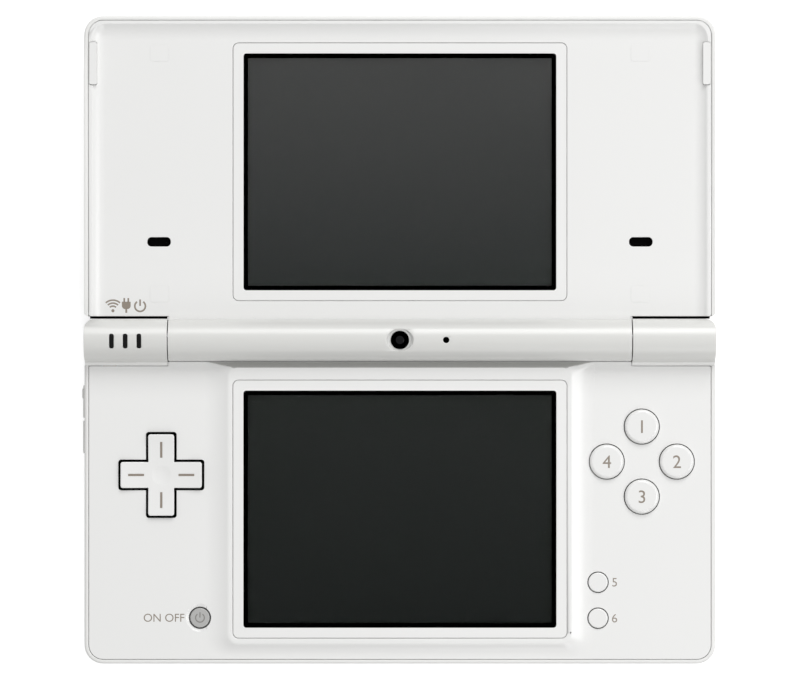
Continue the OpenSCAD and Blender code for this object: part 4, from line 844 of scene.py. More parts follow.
@dataclass
class ScreenPlatform:
    """Raised platform of the lower screen, hollowed towards the face plate round its corners."""

    half_w: float = 37.25
    front_y: float = -65.95
    rear_y: float = -6.0
    side_slope: float = 5.0
    front_slope: float = 2.8
    rear_slope: float = 1.2
    corner: float = 2.1
    foot_corner: float = 4.6
    rear_foot_corner: float = 0.5
    window_half: Pair = (36.3, 28.05)
    window_corner: float = 1.3
    ledge_z: float = 10.85
    kept_y: Pair = (-63.3, -10.1)
    shares: tuple[float, ...] = (0.02, *(k / 8 for k in range(1, 8)))
    near: float = 0.1 * MICRON

    def hollow(self, t: float, width: float) -> float:
        """Return the height of a hollowed slope.

        Args:
            t: The share of the slope's width, 0 at its foot.
            width: The slope's width.

        Returns:
            The height in mm.
        """
        rise = PLATFORM_Z - SIDE_Z
        r = (width * width + rise * rise) / (2 * rise)
        return SIDE_Z + r - math.sqrt(r * r - (t * width) ** 2)

    def slope_loop(self, bm: BMesh, t: float) -> list[BMEdge]:
        """Add the loop that runs round the slopes at one share of their width.

        Args:
            bm: The mesh.
            t: The share, 0 at the foot and 1 at the platform's edge.

        Returns:
            The loop's edges.
        """
        x = self.half_w + self.side_slope * (1 - t)
        low = self.front_y - self.front_slope * (1 - t)
        high = self.rear_y + self.rear_slope * (1 - t)
        near = self.foot_corner + (self.corner - self.foot_corner) * t
        far = self.rear_foot_corner + (self.corner - self.rear_foot_corner) * t
        loop = rounded_loop(bm, (-x, x), (low, high), SIDE_Z, near, 8, far)
        for vert in {v for e in loop for v in e.verts}:
            p = vert.co / MM
            front = p.y < LOWER_SCREEN_Y
            radius = near if front else far
            dx = max(abs(p.x) - (x - radius), 0.0)
            dy = max((low + radius - p.y) if front else (p.y - high + radius), 0.0)
            share = dx / (dx + dy) if dx + dy > 1e-6 else (1.0 if abs(p.x) > x - 0.01 else 0.0)
            ends = self.hollow(t, self.front_slope) if front else SIDE_Z + (PLATFORM_Z - SIDE_Z) * t
            vert.co.z = (share * self.hollow(t, self.side_slope) + (1 - share) * ends) * MM
        return loop

    def split_open_edges(self, bm: BMesh, points: Sequence[Vector]) -> None:
        """Split the open edges that some points lie on, so that two parts can be merged.

        Args:
            bm: The mesh with the open edges.
            points: The other part's points.
        """
        for point in points:
            for edge in [e for e in bm.edges if e.is_boundary]:
                start = edge.verts[0].co
                along = edge.verts[1].co - start
                share = (point - start).dot(along) / along.length_squared
                room = min(share, 1 - share) * along.length
                if room > 4 * MICRON and (start + along * share - point).length < 3 * MICRON:
                    bmesh.utils.edge_split(edge, edge.verts[0], share)
                    break

    def new_ends(self) -> BMesh:
        """Make both ends of the platform with round corners.

        Returns:
            The ends, open along the lines where they meet the old middle.
        """
        bm = bmesh.new()
        foot = self.half_w + self.side_slope
        ends = (self.front_y - self.front_slope, self.rear_y + self.rear_slope)
        slopes = [rounded_loop(bm, (-foot, foot), ends, SIDE_Z, 0)]
        slopes += [self.slope_loop(bm, t) for t in (*self.shares, 1.0)]
        wx, wy = self.window_half
        window = (LOWER_SCREEN_Y - wy, LOWER_SCREEN_Y + wy)
        rims = [rounded_loop(bm, (-wx, wx), window, z, self.window_corner)
                for z in (PLATFORM_Z, self.ledge_z)]
        bridge(bm, slopes)
        bridge(bm, rims)
        bmesh.ops.triangle_fill(bm, edges=slopes[-1] + rims[0], use_beauty=True, normal=(0, 0, 1))
        cap(bm, rims[1])
        bmesh.ops.recalc_face_normals(bm, faces=bm.faces[:])
        front = bm.copy()
        for part, y, outer in ((front, self.kept_y[0], True), (bm, self.kept_y[1], False)):
            bmesh.ops.bisect_plane(part, geom=part.verts[:] + part.edges[:] + part.faces[:], dist=self.near,
                                   plane_co=(0, y * MM, 0), plane_no=(0, 1, 0), clear_outer=outer,
                                   clear_inner=not outer)
        absorb(bm, front)
        top = max(bm.faces, key=lambda f: f.calc_center_median().z * f.calc_area())
        if top.normal.z < 0:
            bmesh.ops.reverse_faces(bm, faces=bm.faces[:])
        return bm

    def reshape(self, bm: BMesh) -> None:
        """Swap the mitred ends of the platform for rounded ones.

        Args:
            bm: The top housing's mesh.
        """
        foot, slack = SIDE_Z * MM, 5 * MICRON

        def raised_faces() -> list[BMFace]:
            """Return the faces of the platform, its recess and its ledge."""
            return [f for f in bm.faces if f.calc_center_median().z > foot + slack
                    and all(v.co.z > foot - slack for v in f.verts)]

        cut_faces(bm, raised_faces, self.kept_y, 1, self.near)
        old = [f for f in raised_faces()
               if not self.kept_y[0] * MM < f.calc_center_median().y < self.kept_y[1] * MM]
        bmesh.ops.delete(bm, geom=old, context="FACES")
        ends = self.new_ends()
        self.split_open_edges(bm, [v.co.copy() for v in ends.verts if v.is_boundary])
        self.split_open_edges(ends, [v.co.copy() for v in bm.verts if v.is_boundary])
        absorb(bm, ends)
        bmesh.ops.remove_doubles(bm, verts=bm.verts[:], dist=4 * MICRON)

    def on_edge(self, edge: BMEdge) -> bool:
        """Tell whether an edge runs round the platform's top.

        Args:
            edge: The edge.

        Returns:
            Whether it runs there, and not round the window.
        """
        p = middle(edge)
        margin = 0.3
        beside = abs(p.x) > self.window_half[0] + margin
        beyond = abs(p.y - LOWER_SCREEN_Y) > self.window_half[1] + margin
        return abs(p.z - PLATFORM_Z) < NEAR_Z and (beside or beyond)


@dataclass
class BaseShell:
    """The base's housings, covers, doors, feet and stylus."""

    half_w: float = 68.5
    outline_y: Pair = (-70.3, 30.0)
    rim_end_y: float = -5.5
    corner: float = 4.1
    rim: float = 0.55
    ear_x: float = 50.0
    ear_z: float = 9.5
    ear_front: Pair = (-6.0, -5.2)
    slot_sides: tuple[float, ...] = (-63.1, -61.5, -60.2, -58.6, -57.2, -55.6)
    pad_hole: float = 9.6
    face_key_hole: float = 4.3
    small_key_hole: float = 2.6
    hole_z: float = 8.0
    valley_half: float = 43.0
    valley_y: Pair = (-6.1, -4.6)
    platform: ScreenPlatform = field(default_factory=ScreenPlatform)

    def on_rim(self, edge: BMEdge) -> bool:
        """Tell whether an edge is the shell's outer top edge."""
        return (middle(edge).y < self.rim_end_y
                and on_outline(edge, SIDE_Z, self.half_w, self.outline_y, self.corner))

    def in_key_hole(self, face: BMFace) -> bool:
        """Tell whether a face is a part of the wall of a key's hole.

        Args:
            face: The face.

        Returns:
            Whether it is one.
        """
        p = face.calc_center_median() / MM
        rounds = [(x, y, self.face_key_hole) for x, y in FACE_KEYS.values()]
        rounds += [(x, y, self.small_key_hole) for x, y in (START_AT, SELECT_AT, POWER_AT)]
        in_plan = (max(abs(p.x - PAD_AT[0]), abs(p.y - PAD_AT[1])) < self.pad_hole
                   or any(math.hypot(p.x - x, p.y - y) < r for x, y, r in rounds))
        return in_plan and abs(face.normal.z) < 0.75 and p.z > self.hole_z

    def in_valley(self, face: BMFace) -> bool:
        """Tell whether a face is a part of the valley in front of the barrel.

        Args:
            face: The face.

        Returns:
            Whether it is one.
        """
        p = face.calc_center_median() / MM
        in_plan = self.valley_y[0] < p.y < self.valley_y[1] and abs(p.x) < self.valley_half
        return in_plan and face.normal.y > 0.3 and p.z > SIDE_Z - 0.2

    def dress_top(self, bm: BMesh) -> None:
        """Paint shade: black on the walls of the keys' holes, and grey on the valley where the barrel's
        shadow falls.
        """
        paint(bm, self.in_valley, 2)
        paint(bm, self.in_key_hole)

    def off_ears(self, edge: BMEdge) -> bool:
        """Tell whether an edge lies away from the line in front of the barrel's ears.

        Args:
            edge: The edge.

        Returns:
            Whether it lies away.
        """
        p = middle(edge)
        low, high = self.ear_front
        return not (abs(p.x) > self.ear_x and low < p.y < high and p.z > self.ear_z)

    def build(self) -> None:
        """Make the base's outer pieces."""
        # The barrel's faces take the darker barrel white, partly painted shade.
        Moulding("base_bottom_housing", "base", Finish.shell, Slot.SHELL, 0.12,
                 (WideEdge(self.on_rim, self.rim, segments=5),), (Finish.barrel,), paint_barrel,
                 lambda bm: cut_barrel(bm, self.slot_sides), self.off_ears).build()
        # Its two extra finishes are painted shade: black on the keys' hole walls, grey on the valley by the
        # barrel.
        Moulding("base_top_housing", "base", Finish.face, Slot.FACE, 0.1,
                 (WideEdge(self.platform.on_edge, offset=0.3, segments=3, angle=12.0),),
                 (Finish.cloth, Finish.valley), self.dress_top, self.platform.reshape, self.off_ears).build()
        Moulding("battery_cover", "base", Finish.shell, Slot.SHELL, 0.15).build()
        Moulding("memory_card_door", "memory_card_door_body", Finish.shell, Slot.SHELL, 0.08).build()
        Moulding("rubber_feet", "base", Finish.rubber, Slot.RUBBER, 0.18).build()
        Moulding("stylus", "stylus_body", Finish.keys, Slot.FACE, 0.1).build()
        for node in ("housing_screws", "battery_cover_screws"):
            Moulding(node, "base", Finish.zinc, Slot.STEEL, 0.08).build()
        log.info("base shell: housings, battery cover, card door, feet, stylus and screws")


# ---------------------------------------------------------------- controls


@dataclass
class DPad:
    """Cross-shaped pad with a dished middle and one mark let into each arm."""

    top: float = 11.6
    mark: Pair = (3.73, 7.18)
    mark_w: float = 0.5
    mark_gap: float = 0.02
    mark_sink: float = 0.04
    groove: float = 0.15
    flange_top: float = 10.4
    bowl: float = 0.7
    bowl_r: float = 9.8
    arm: Pair = (8.0, 2.0)
    skin: float = 0.1
    sink_depth: float = 0.4
    shade_depth: float = 0.12
    cuts: tuple[float, ...] = (0.9, 1.8, 4.0, 4.9, 5.8, 6.7, 7.7)

    def surface(self, x: float, y: float) -> float:
        """Return the height of the pad's hollow top at a place."""
        far = ((x - PAD_AT[0]) ** 2 + (y - PAD_AT[1]) ** 2) / self.bowl_r ** 2
        return self.top - self.bowl * max(0.0, 1 - far)

    def hollow_top(self, bm: BMesh) -> None:
        """Hollow the pad's flat top towards its middle.

        Args:
            bm: The pad's mesh.
        """
        for axis in (0, 1):
            cut_faces(bm, lambda: [f for f in bm.faces if f.normal.z > 0.9
                                   and f.calc_center_median().z / MM > self.top - self.skin],
                      [PAD_AT[axis] + side * cut for cut in self.cuts for side in (-1, 1)], axis)
        self.sink(bm)

    def sink(self, bm: BMesh) -> None:
        """Lower the points of the pad's top, or of its marks, into the hollow.

        Args:
            bm: The mesh of the pad or its marks.
        """
        for vert in bm.verts:
            p = vert.co / MM
            if p.z > self.top - self.sink_depth:
                vert.co.z += (self.surface(p.x, p.y) - self.top) * MM

    def on_top(self, edge: BMEdge) -> bool:
        """Tell whether an edge is the cross's upper outline.

        Args:
            edge: The edge.

        Returns:
            Whether it is a part of it.
        """
        p = middle(edge)
        across, along = sorted((abs(p.x - PAD_AT[0]), abs(p.y - PAD_AT[1])))
        on_top = abs(p.z - self.surface(p.x, p.y)) < NEAR_Z
        return on_top and (along > self.arm[0] or across > self.arm[1])

    def in_painted_shade(self, face: BMFace) -> bool:
        """Tell whether a face belongs to the pad's walls or its flange, which are painted black as shade.

        Args:
            face: The face.

        Returns:
            Whether it does.
        """
        p = face.calc_center_median() / MM
        on_wall = abs(face.normal.z) < 0.6 and p.z < self.surface(p.x, p.y) - self.shade_depth
        return p.z < self.flange_top or on_wall

    def build(self) -> None:
        """Make the pad and its marks."""
        # The pad's walls and flange take the black as painted shade.
        Moulding("d_pad", "d_pad_body", Finish.keys, Slot.FACE, 0.05, (WideEdge(self.on_top, offset=0.3),),
                 (Finish.cloth,), lambda bm: paint(bm, self.in_painted_shade), self.hollow_top).build()
        bm = bmesh.new()
        half = self.mark_w / 2 - self.mark_gap
        for turn in range(4):
            start = len(bm.verts)
            block(bm, (self.mark[0] + self.mark_gap, self.mark[1] - self.mark_gap), (-half, half),
                  (self.top - self.groove, self.top - self.mark_sink))
            bm.verts.ensure_lookup_table()
            bmesh.ops.rotate(bm, cent=(0, 0, 0), matrix=Matrix.Rotation(turn * math.pi / 2, 3, "Z"),
                             verts=bm.verts[start:])
        bmesh.ops.translate(bm, vec=(PAD_AT[0] * MM, PAD_AT[1] * MM, 0), verts=bm.verts[:])
        self.sink(bm)
        bmesh.ops.recalc_face_normals(bm, faces=bm.faces[:])
        make_piece(bm, "d_pad_marks", (Finish.ink,), Mount("d_pad_body", Slot.GREY))
        log.info("d-pad with four marks")


@dataclass
class RoundKey:
    """Round push button with a rounded top edge."""

    node: str
    top: float
    finish: Plastic
    slot: Slot = Slot.FACE
    edge: float = 0.5

    def on_top(self, edge: BMEdge) -> bool:
        """Tell whether an edge is the key's upper rim."""
        return abs(middle(edge).z - self.top) < NEAR_Z

    def build(self) -> None:
        """Make the key."""
        Moulding(self.node, f"{self.node}_body", self.finish, self.slot, 0.05,
                 (WideEdge(self.on_top, self.edge, segments=6),)).build()


@dataclass(frozen=True)
class Legend:
    """Printed letters or numerals."""

    name: str
    text: str
    at: Pair
    height: float
    z: float
    body: str
    weight: float = 0.0
    spread: float = 1.0

    def build(self) -> None:
        """Make the print as thin raised letters."""
        curve = bpy.data.curves.new(self.name, "FONT")
        curve.body = self.text
        curve.size = 1.0
        curve.offset = self.weight
        curve.space_character = self.spread
        curve.resolution_u = 6
        holder = placed(self.name, curve)
        bpy.context.view_layer.update()
        flat = bpy.data.meshes.new_from_object(holder.evaluated_get(bpy.context.evaluated_depsgraph_get()))
        bpy.data.objects.remove(holder)
        bm = bmesh.new()
        bm.from_mesh(flat)
        bpy.data.meshes.remove(flat)
        bmesh.ops.remove_doubles(bm, verts=bm.verts[:], dist=10 * MICRON)
        low = Vector((min(v.co.x for v in bm.verts), min(v.co.y for v in bm.verts), 0))
        high = Vector((max(v.co.x for v in bm.verts), max(v.co.y for v in bm.verts), 0))
        grow = self.height * MM / (high.y - low.y)
        bmesh.ops.translate(bm, vec=-(low + high) / 2, verts=bm.verts[:])
        bmesh.ops.scale(bm, vec=(grow, grow, 0), verts=bm.verts[:])
        bmesh.ops.translate(bm, vec=Vector((*self.at, self.z - INK_SINK)) * MM, verts=bm.verts[:])
        for face in bm.faces:
            face.material_index = 0
        make_print(bm, self.name, Finish.ink, self.body)


@dataclass
class Controls:
    """Everything the hands press on the base."""

    face_top: float = 11.6
    small_top: float = 11.05
    power_top: float = 10.7
    face_print: float = 2.75
    small_print: float = 1.85
    small_print_x: float = 3.6
    power_print: float = 1.75
    power_print_x: float = -7.8

    def build(self) -> None:
        """Make the buttons, the rocker and the shoulder buttons."""
        DPad().build()
        for number, (side, at) in enumerate(FACE_KEYS.items(), 1):
            node = f"face_button_{side}"
            RoundKey(node, self.face_top, Finish.keys, edge=0.75).build()
            Legend(f"numeral_{number}", str(number), at, self.face_print, self.face_top,
                   f"{node}_body").build()
        for node in ("start_button", "select_button"):
            RoundKey(node, self.small_top, Finish.keys, edge=0.3).build()
        RoundKey("power_button", self.power_top, Finish.power, Slot.POWER, 0.25).build()
        for number, (x, y) in ((5, START_AT), (6, SELECT_AT)):
            Legend(f"numeral_{number}", str(number), (x + self.small_print_x, y), self.small_print, SIDE_Z,
                   "base", -0.004).build()
        Legend("power_words", "ON OFF", (POWER_AT[0] + self.power_print_x, POWER_AT[1]), self.power_print,
               SIDE_Z, "base", -0.002, 0.98).build()
        standby_symbol("power_button_symbol", POWER_AT, 0.95, 0.24, self.power_top, "power_button_body",
                       Finish.power_mark)
        # The rocker takes the barrel's darker white, partly painted shade.
        Moulding("volume_rocker", "volume_rocker_body", Finish.barrel, Slot.SHELL, 0.12).build()
        for side in ("left", "right"):
            node = f"{side}_shoulder_button"
            Moulding(node, f"{node}_body", Finish.keys, Slot.FACE, 0.15).build()
        log.info("controls: four face buttons, three small buttons, rocker and shoulder buttons")


# ---------------------------------------------------------------- flat symbols


def arc_strip(bm: BMesh, at: Pair, radii: Pair, start: float, sweep: float, z: float, steps: int) -> None:
    """Add a flat arc.

    Args:
        bm: The mesh.
        at: Its centre in mm.
        radii: Inner and outer radius.
        start: Angle of its first end in degrees from +X.
        sweep: Angle it covers.
        z: Its height.
        steps: Steps along it.
    """
    a = math.radians(start)
    aim = Vector((math.cos(a), math.sin(a), 0))
    centre = Vector((*at, z))
    verts = [bm.verts.new((centre + aim * r) * MM) for r in radii]
    edge = bm.edges.new(verts)
    bmesh.ops.spin(bm, geom=verts + [edge], cent=centre * MM, axis=(0, 0, 1), angle=math.radians(sweep),
                   steps=steps, use_merge=abs(sweep) >= 360)


def flat_bar(bm: BMesh, x: Pair, y: Pair, z: float) -> None:
    """Add a flat rectangle between two x and two y in mm."""
    cap(bm, rounded_loop(bm, x, y, z, 0))


def standby_symbol(name: str, at: Pair, radius: float, stroke: float, z: float, body: str,
                   finish: Plastic) -> None:
    """Make the broken ring and bar that mark a power switch.

    Args:
        name: The piece's name.
        at: Its centre in mm.
        radius: Middle radius of the ring.
        stroke: Width of its lines.
        z: Height of the surface under it.
        body: The body it rides on.
        finish: Its ink.
    """
    bm = bmesh.new()
    low, half = z - INK_SINK, stroke / 2
    arc_strip(bm, at, (radius - half, radius + half), 125, 290, low, 36)
    flat_bar(bm, (at[0] - half, at[0] + half), (at[1] + 0.05 * radius, at[1] + 1.25 * radius), low)
    make_print(bm, name, finish, body)


@dataclass
class StatusMarks:
    """Signal, plug and power marks beside the status lights."""

    x: Triple = (-62.3, -59.4, -56.4)
    y: float = 7.5
    stroke: float = 0.34

    def build(self) -> None:
        """Make the three marks."""
        low = LID_FACE_Z - INK_SINK
        bm = bmesh.new()
        foot = (self.x[0], self.y - 1.15)
        arc_strip(bm, foot, (0.02, 0.34), 0, 360, low, 24)
        for r in (1.0, 1.65, 2.3):
            arc_strip(bm, foot, (r - self.stroke / 2, r + self.stroke / 2), 48, 84, low, 16)
        make_print(bm, "signal_mark", Finish.ink, "lid")
        bm = bmesh.new()
        x, y = self.x[1], self.y
        for side in (-1, 1):
            flat_bar(bm, tuple(sorted((x + side * 0.26, x + side * 0.62))), (y + 0.75, y + 1.6), low)
        cap(bm, rounded_loop(bm, (x - 0.95, x + 0.95), (y - 0.8, y + 0.8), low, 0.75, 6, 0.08))
        flat_bar(bm, (x - 0.2, x + 0.2), (y - 1.6, y - 0.78), low)
        make_print(bm, "plug_mark", Finish.ink, "lid")
        standby_symbol("power_mark", (self.x[2], self.y - 0.15), 1.15, 0.36, LID_FACE_Z, "lid", Finish.ink)
        log.info("status marks")


# ---------------------------------------------------------------- screens


@dataclass
class ScreenWindow:
    """Clear plate over a screen, printed white round its edge from below."""

    node: str
    body: str
    y: float
    top: float
    lcd: LcdPanel
    lcd_node: str
    frame_node: str
    half: Pair = (36.2, 27.95)
    view: Pair = (33.95, 25.72)
    corner: float = 1.2
    view_corner: float = 0.65
    thickness: float = 0.8
    edge: float = 0.12
    air: float = 0.03

    def plate(self, half: Pair, corner: float, hole: bool, name: str, finish: Finishing) -> None:
        """Make the printed border or the clear middle.

        Args:
            half: Half width and half length of the outer outline.
            corner: Its corner radius.
            hole: Whether the view is left open.
            name: The piece's name.
            finish: Its finish.
        """
        bm = bmesh.new()
        low, high = self.top - self.thickness + (0.0 if hole else self.air), self.top

        def ring(size: Pair, z: float, r: float) -> list[BMEdge]:
            """Add a loop round the screen's middle."""
            return rounded_loop(bm, (-size[0], size[0]), (self.y - size[1], self.y + size[1]), z, r)

        e = self.edge if hole else 0.0
        loops = [ring(half, low, corner), ring(half, high - e, corner)]
        if hole:
            loops.append(ring((half[0] - e, half[1] - e), high, corner - e))
            loops += [ring(self.view, z, self.view_corner) for z in (high, low)]
            loops.append(loops[0])
        bridge(bm, loops)
        if not hole:
            cap(bm, loops[0])
            cap(bm, loops[-1])
        bmesh.ops.recalc_face_normals(bm, faces=bm.faces[:])
        make_piece(bm, name, (finish,), Mount(self.body, Slot.WINDOW, (self.node,) if hole else ()), 40.0)

    def build(self) -> None:
        """Make the window and dress what lies under it."""
        self.plate(self.half, self.corner, True, f"{self.node}_border", Finish.border)
        self.plate(self.view, self.view_corner, False, f"{self.node}_clear", Finish.clear)
        dress(self.lcd_node, self.lcd)
        dress(self.frame_node, Finish.black)
        log.info("%s over %s", self.node, self.lcd_node)


# ---------------------------------------------------------------- lid and hinge


@dataclass
class Lid:
    """The lid's two housings and what is let into its face."""

    half_w: float = 68.5
    outline_y: Pair = (-30.0, 70.3)
    rim_start_y: float = 6.5
    rim_z: float = 11.8
    corner: float = 4.1
    rim: float = 0.5
    foot_x: float = 64.0
    foot_y: float = 65.1
    slope: float = 2.8
    far_slope: float = 3.5
    steps: int = 7
    pads_x: float = 52.2
    pads_y: Pair = (10.0, 62.3)
    pad_reach: Pair = (2.4, 2.2)
    seat_gap: float = 0.09
    bumper_x: float = 66.8
    bumper_zone: tuple[Pair, Pair] = ((65.8, 67.8), (56.0, 64.3))
    pocket_gap: float = 0.07
    # Black strips of painted shade in the gaps beside the barrel's ears.
    shade_strip_x: Pair = (50.5, 67.3)
    shade_strip_y: Pair = (4.62, 5.3)
    shade_strip_z: Pair = (9.7, 10.0)
    hole_sides: tuple[float, ...] = (-6.0, -3.3, 3.3, 6.0, 8.6, 11.4)
    slope_tilt: Pair = (0.85, 0.97)
    pad_foot_z: float = 9.0
    near_foot: float = 1e-4

    def on_rim(self, edge: BMEdge) -> bool:
        """Tell whether an edge is the cover's outer rim."""
        return (middle(edge).y > self.rim_start_y
                and on_outline(edge, self.rim_z, self.half_w, self.outline_y, self.corner))

    def hollow_dish(self, bm: BMesh) -> None:
        """Turn the flat slopes round the lid's face into a hollow with round corners.

        Args:
            bm: The inner housing's mesh.
        """
        low, high = LID_FACE_Z, self.rim_z

        def on_slope(face: BMFace) -> bool:
            """Tell whether a face is a part of the slopes.

            Args:
                face: The face.

            Returns:
                Whether it is one.
            """
            p = face.calc_center_median() / MM
            return (self.slope_tilt[0] < face.normal.z < self.slope_tilt[1] and low < p.z < high
                    and (abs(p.x) > self.foot_x or p.y > self.foot_y))

        def slopes() -> list[BMFace]:
            """Return the faces of the slopes."""
            return [f for f in bm.faces if on_slope(f)]

        strips = [self.slope * k / self.steps for k in range(self.steps + 1)]
        cut_faces(bm, slopes, [side * (self.foot_x + w) for w in strips for side in (-1, 1)], 0)
        cut_faces(bm, slopes, [self.foot_y + w for w in strips], 1)
        rise = high - low
        sweep = (self.slope ** 2 + rise ** 2) / (2 * rise)
        for vert in {v for f in slopes() for v in f.verts}:
            p = vert.co / MM
            u = max(abs(p.x) - self.foot_x, 0.0) / self.slope
            v = max(p.y - self.foot_y, 0.0) / self.slope
            t = min(max(u, v), 1.0)
            if v > self.near_foot:
                turn = math.pi / 4 * (v / u if u > v else 2 - u / v)
                if u > self.near_foot:
                    vert.co.x = math.copysign(self.foot_x + self.slope * t * math.cos(turn), p.x) * MM
                vert.co.y = (self.foot_y + self.far_slope * t * math.sin(turn)) * MM
            vert.co.z = (low + sweep - math.sqrt(sweep ** 2 - (t * self.slope) ** 2)) * MM

    def reshape(self, bm: BMesh) -> None:
        """Hollow the dish and cut the barrel's strips beside the camera and the microphone."""
        self.hollow_dish(bm)
        cut_barrel(bm, self.hole_sides)

    def off_pads(self, edge: BMEdge) -> bool:
        """Tell whether an edge lies away from the screw covers and the bumpers' long sides.

        Args:
            edge: The edge.

        Returns:
            Whether it lies away.
        """
        p = middle(edge)
        on_pad = (abs(abs(p.x) - self.pads_x) < self.pad_reach[0]
                  and min(abs(p.y - y) for y in self.pads_y) < self.pad_reach[1])
        x, y = self.bumper_zone
        on_bumper = x[0] < abs(p.x) < x[1] and y[0] < p.y < y[1]
        return p.z < self.pad_foot_z or not (on_pad or on_bumper)

    def fill_seats(self, bm: BMesh) -> None:
        """Let the screw covers fill their seats.

        Args:
            bm: The screw covers' mesh.
        """
        for vert in bm.verts:
            x, y = vert.co.x / MM, vert.co.y / MM
            pad_x = math.copysign(self.pads_x, x)
            pad_y = min(self.pads_y, key=lambda place: abs(y - place))
            vert.co.x += math.copysign(self.seat_gap, x - pad_x) * MM
            vert.co.y += math.copysign(self.seat_gap, y - pad_y) * MM

    def fill_pockets(self, bm: BMesh) -> None:
        """Let the bumpers fill the width of their pockets.

        Args:
            bm: The bumpers' mesh.
        """
        for vert in bm.verts:
            x = vert.co.x / MM
            vert.co.x += math.copysign(self.pocket_gap, x - math.copysign(self.bumper_x, x)) * MM

    def gap_shade_strips(self) -> None:
        """Make black strips in the gaps beside the barrel's ears: painted shade that also keeps the floor
        from showing through.
        """
        bm = bmesh.new()
        for side in (-1, 1):
            block(bm, tuple(sorted(side * x for x in self.shade_strip_x)), self.shade_strip_y, self.shade_strip_z)
        bmesh.ops.recalc_face_normals(bm, faces=bm.faces[:])
        make_piece(bm, "ear_gap_shade_strips", (Finish.cloth,), Mount("lid", Slot.BLACK))

    def build(self) -> None:
        """Make the lid's outer pieces."""
        # The barrel's faces take the darker barrel white, partly painted shade.
        Moulding("lid_inner_housing", "lid", Finish.face, Slot.FACE, 0.1, extra=(Finish.barrel,),
                 dress=paint_barrel, reshape=self.reshape, rounds=self.off_pads).build()
        Moulding("lid_outer_cover", "lid", Finish.shell, Slot.SHELL, 0.12,
                 (WideEdge(self.on_rim, self.rim, segments=5),)).build()
        Moulding("lid_screw_covers", "lid", Finish.face, Slot.FACE, 0.02, reshape=self.fill_seats).build()
        self.gap_shade_strips()
        Moulding("lid_side_bumpers", "lid", Finish.face, Slot.FACE, 0.08, reshape=self.fill_pockets).build()
        dress("speaker_cloths", Finish.cloth)
        log.info("lid: housings, screw covers and side bumpers")


@dataclass
class Hinge:
    """The camera and status lights in the hinge barrel, and the rear camera's glass."""

    lens_r: float = 1.975
    lens_z: float = 15.45
    bezel_z: float = 15.05
    seat_r: Pair = (1.995, 2.39)
    seat_z: Triple = (15.0, 15.1, 15.16)

    def build(self) -> None:
        """Make the camera's bezel and glass, and the light pipes."""
        r, top = self.lens_r, self.lens_z
        bezel = lathe(((0, self.bezel_z), (r, self.bezel_z), (r, top - 0.1), (r - 0.1, top),
                       (1.2, top - 0.02), (1.0, top - 0.12), (0.95, top - 0.2), (0, top - 0.2)), (0, 0))
        make_piece(bezel, "camera_bezel", (Finish.black,),
                   Mount("lid", Slot.LENS, ("barrel_camera_lens",)), 30.0)
        (inner, outer), (low, inner_top, outer_top) = self.seat_r, self.seat_z
        seat = lathe(((inner, low), (outer, low), (outer, outer_top), (inner, inner_top), (inner, low)),
                     (0, 0))
        # The seat takes the barrel's darker white, partly painted shade.
        make_piece(seat, "camera_seat", (Finish.barrel,), Mount("lid", Slot.FACE), 30.0)
        glass = lathe(((0, top - 0.2), (0.9, top - 0.2), (0.9, top - 0.16), (0.65, top - 0.08),
                       (0.35, top - 0.04), (0, top - 0.03)), (0, 0), 32)
        make_piece(glass, "camera_glass", (Finish.lens_dark,), Mount("lid", Slot.LENS), 60.0)
        Moulding("light_pipes", "base", Finish.smoke, Slot.BLACK, 0.08).build()
        near, far = (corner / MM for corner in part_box("rear_camera_lens"))
        rim, low = (far.x - near.x) / 2, near.z
        outside = lathe(((0, far.z), (rim, far.z), (rim, low + 0.1), (rim - 0.1, low), (1.1, low + 0.02),
                         (0.9, low + 0.14), (0.6, low + 0.06), (0, low + 0.02)), ((near + far) / 2).xy)
        make_piece(outside, "rear_camera_glass", (Finish.lens_dark,),
                   Mount("lid", Slot.LENS, ("rear_camera_lens",)), 30.0)
        log.info("hinge: camera, microphone and status lights")


INNER_PARTS: dict[Finishing, tuple[str, ...]] = {
    Finish.battery: ("battery_pack",),
    Finish.gold: ("battery_contacts",),
    Finish.board: ("main_board", "wireless_board", "status_light_board"),
    Finish.dark: ("game_card_socket", "headphone_jack", "charging_port", "side_switches", "left_speaker",
                  "right_speaker"),
    Finish.steel: ("memory_card_socket", "dome_switches", "side_pins", "left_shoulder_spring",
                   "right_shoulder_spring", "left_hinge_pin", "hinge_click_shaft"),
    Finish.zinc: ("lid_screws",),
    Finish.grey: ("stylus_tube", "d_pad_pivot", "hinge_click_unit"),
    Finish.black: ("barrel_camera", "rear_camera", "microphone"),
    Finish.amber: ("base_flex_cable", "lid_flex_cable"),
}


def dress_inner_parts() -> None:
    """Give the pieces inside the console their finishes."""
    for finish, nodes in INNER_PARTS.items():
        for node in nodes:
            dress(node, finish)
        log.info("inner parts: %s on %s", finish.name, ", ".join(nodes))


# ---------------------------------------------------------------- studio


@dataclass(frozen=True)
class AreaLamp:
    """A soft square lamp that looks at the console."""

    name: str
    at: Triple
    size: float
    power: float

    def build(self) -> None:
        """Hang the lamp."""
        data = bpy.data.lights.new(self.name, "AREA")
        data.shape = "SQUARE"
        data.size = self.size
        data.energy = self.power
        lamp = placed(self.name, data)
        lamp.location = self.at
        lamp.rotation_euler = Vector(self.at).to_track_quat("Z", "Y").to_euler()


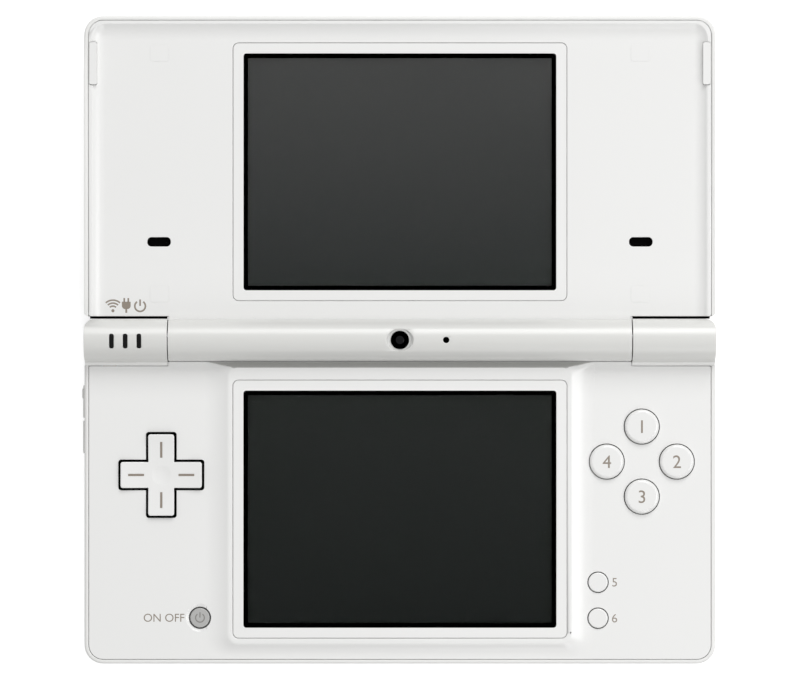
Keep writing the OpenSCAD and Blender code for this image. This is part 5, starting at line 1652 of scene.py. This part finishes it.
@dataclass
class Studio:
    """Pale floor, soft lamps and the camera above the console."""

    lens: float = 250.0
    sensor: float = 36.0
    camera_at: Triple = (0.00002, -0.0012, 1.2166)
    floor_half: float = 3.0
    floor_color: float = 0.8
    floor_glow: float = 0.6
    world: float = 0.5
    lamps: tuple[AreaLamp, ...] = (
        AreaLamp("key_lamp", (0.25, 1.25, 1.0), 0.8, 13.3),
        AreaLamp("side_lamp", (0.45, -0.1, 0.5), 0.3, 1.02),
        AreaLamp("fill_lamp", (0.35, -1.1, 0.75), 0.6, 2.5),
    )

    def camera(self) -> None:
        """Set the camera straight above the console."""
        data = bpy.data.cameras.new("camera")
        data.lens = self.lens
        data.sensor_width = self.sensor
        data.clip_start = 0.01
        data.clip_end = 20.0
        camera = placed("camera", data)
        camera.location = self.camera_at
        bpy.context.scene.camera = camera

    def white_seen(self, tree: bpy.types.NodeTree) -> bpy.types.NodeSocket:
        """Add the mask of the rays that see white.

        Args:
            tree: The material's or world's node tree.

        Returns:
            A socket that is 1 for camera, glossy and transmission rays.
        """
        path = wire(tree, "LightPath", {}).outputs
        total = path["Is Camera Ray"]
        for label in ("Is Glossy Ray", "Is Transmission Ray"):
            both = wire(tree, "Math", {0: total, 1: path[label]}, operation="ADD", use_clamp=True)
            total = both.outputs[0]
        return total

    def floor(self) -> None:
        """Lay the floor, white to the eye but for the console's shadow."""
        bm = bmesh.new()
        bmesh.ops.create_grid(bm, x_segments=1, y_segments=1, size=self.floor_half)
        mesh = bpy.data.meshes.new("floor")
        bm.to_mesh(mesh)
        bm.free()
        material = bpy.data.materials.new("floor_paper")
        material.use_nodes = True
        tree = material.node_tree
        feed(tree.nodes["Principled BSDF"], {
            "Base Color": (*(self.floor_color,) * 3, 1), "Roughness": 1.0, "Specular IOR Level": 0.0,
            "Emission Color": (1, 1, 1, 1),
            "Emission Strength": math_node(tree, "MULTIPLY", self.white_seen(tree), self.floor_glow)})
        mesh.materials.append(material)
        placed("floor", mesh)

    def sky(self) -> None:
        """Light the room evenly, with white beyond the floor."""
        world = bpy.data.worlds.new("room")
        world.use_nodes = True
        bpy.context.scene.world = world
        tree = world.node_tree
        span = wire(tree, "MapRange", {"Value": self.white_seen(tree), "To Min": self.world, "To Max": 1.0})
        feed(tree.nodes["Background"], {"Color": (1, 1, 1, 1), "Strength": span.outputs["Result"]})

    def build(self) -> None:
        """Set up the whole studio."""
        self.camera()
        self.floor()
        self.sky()
        for lamp in self.lamps:
            lamp.build()
        bpy.context.scene.view_settings.view_transform = "Standard"
        log.info("studio: camera, floor, room light and %d lamps", len(self.lamps))


def main() -> None:
    """Build the console's looks piece by piece, then the studio."""
    logging.basicConfig(level=logging.INFO, format="%(message)s")
    BaseShell().build()
    Controls().build()
    ScreenWindow("touch_panel", "base", LOWER_SCREEN_Y, 11.65, Finish.lower_lcd, "lower_lcd_module",
                 "lower_screen_frame").build()
    Lid().build()
    ScreenWindow("upper_screen_window", "lid", UPPER_SCREEN_Y, 10.55, Finish.upper_lcd, "upper_lcd_module",
                 "upper_screen_frame").build()
    Hinge().build()
    StatusMarks().build()
    dress_inner_parts()
    Studio().build()


if __name__ == "__main__":
    main()
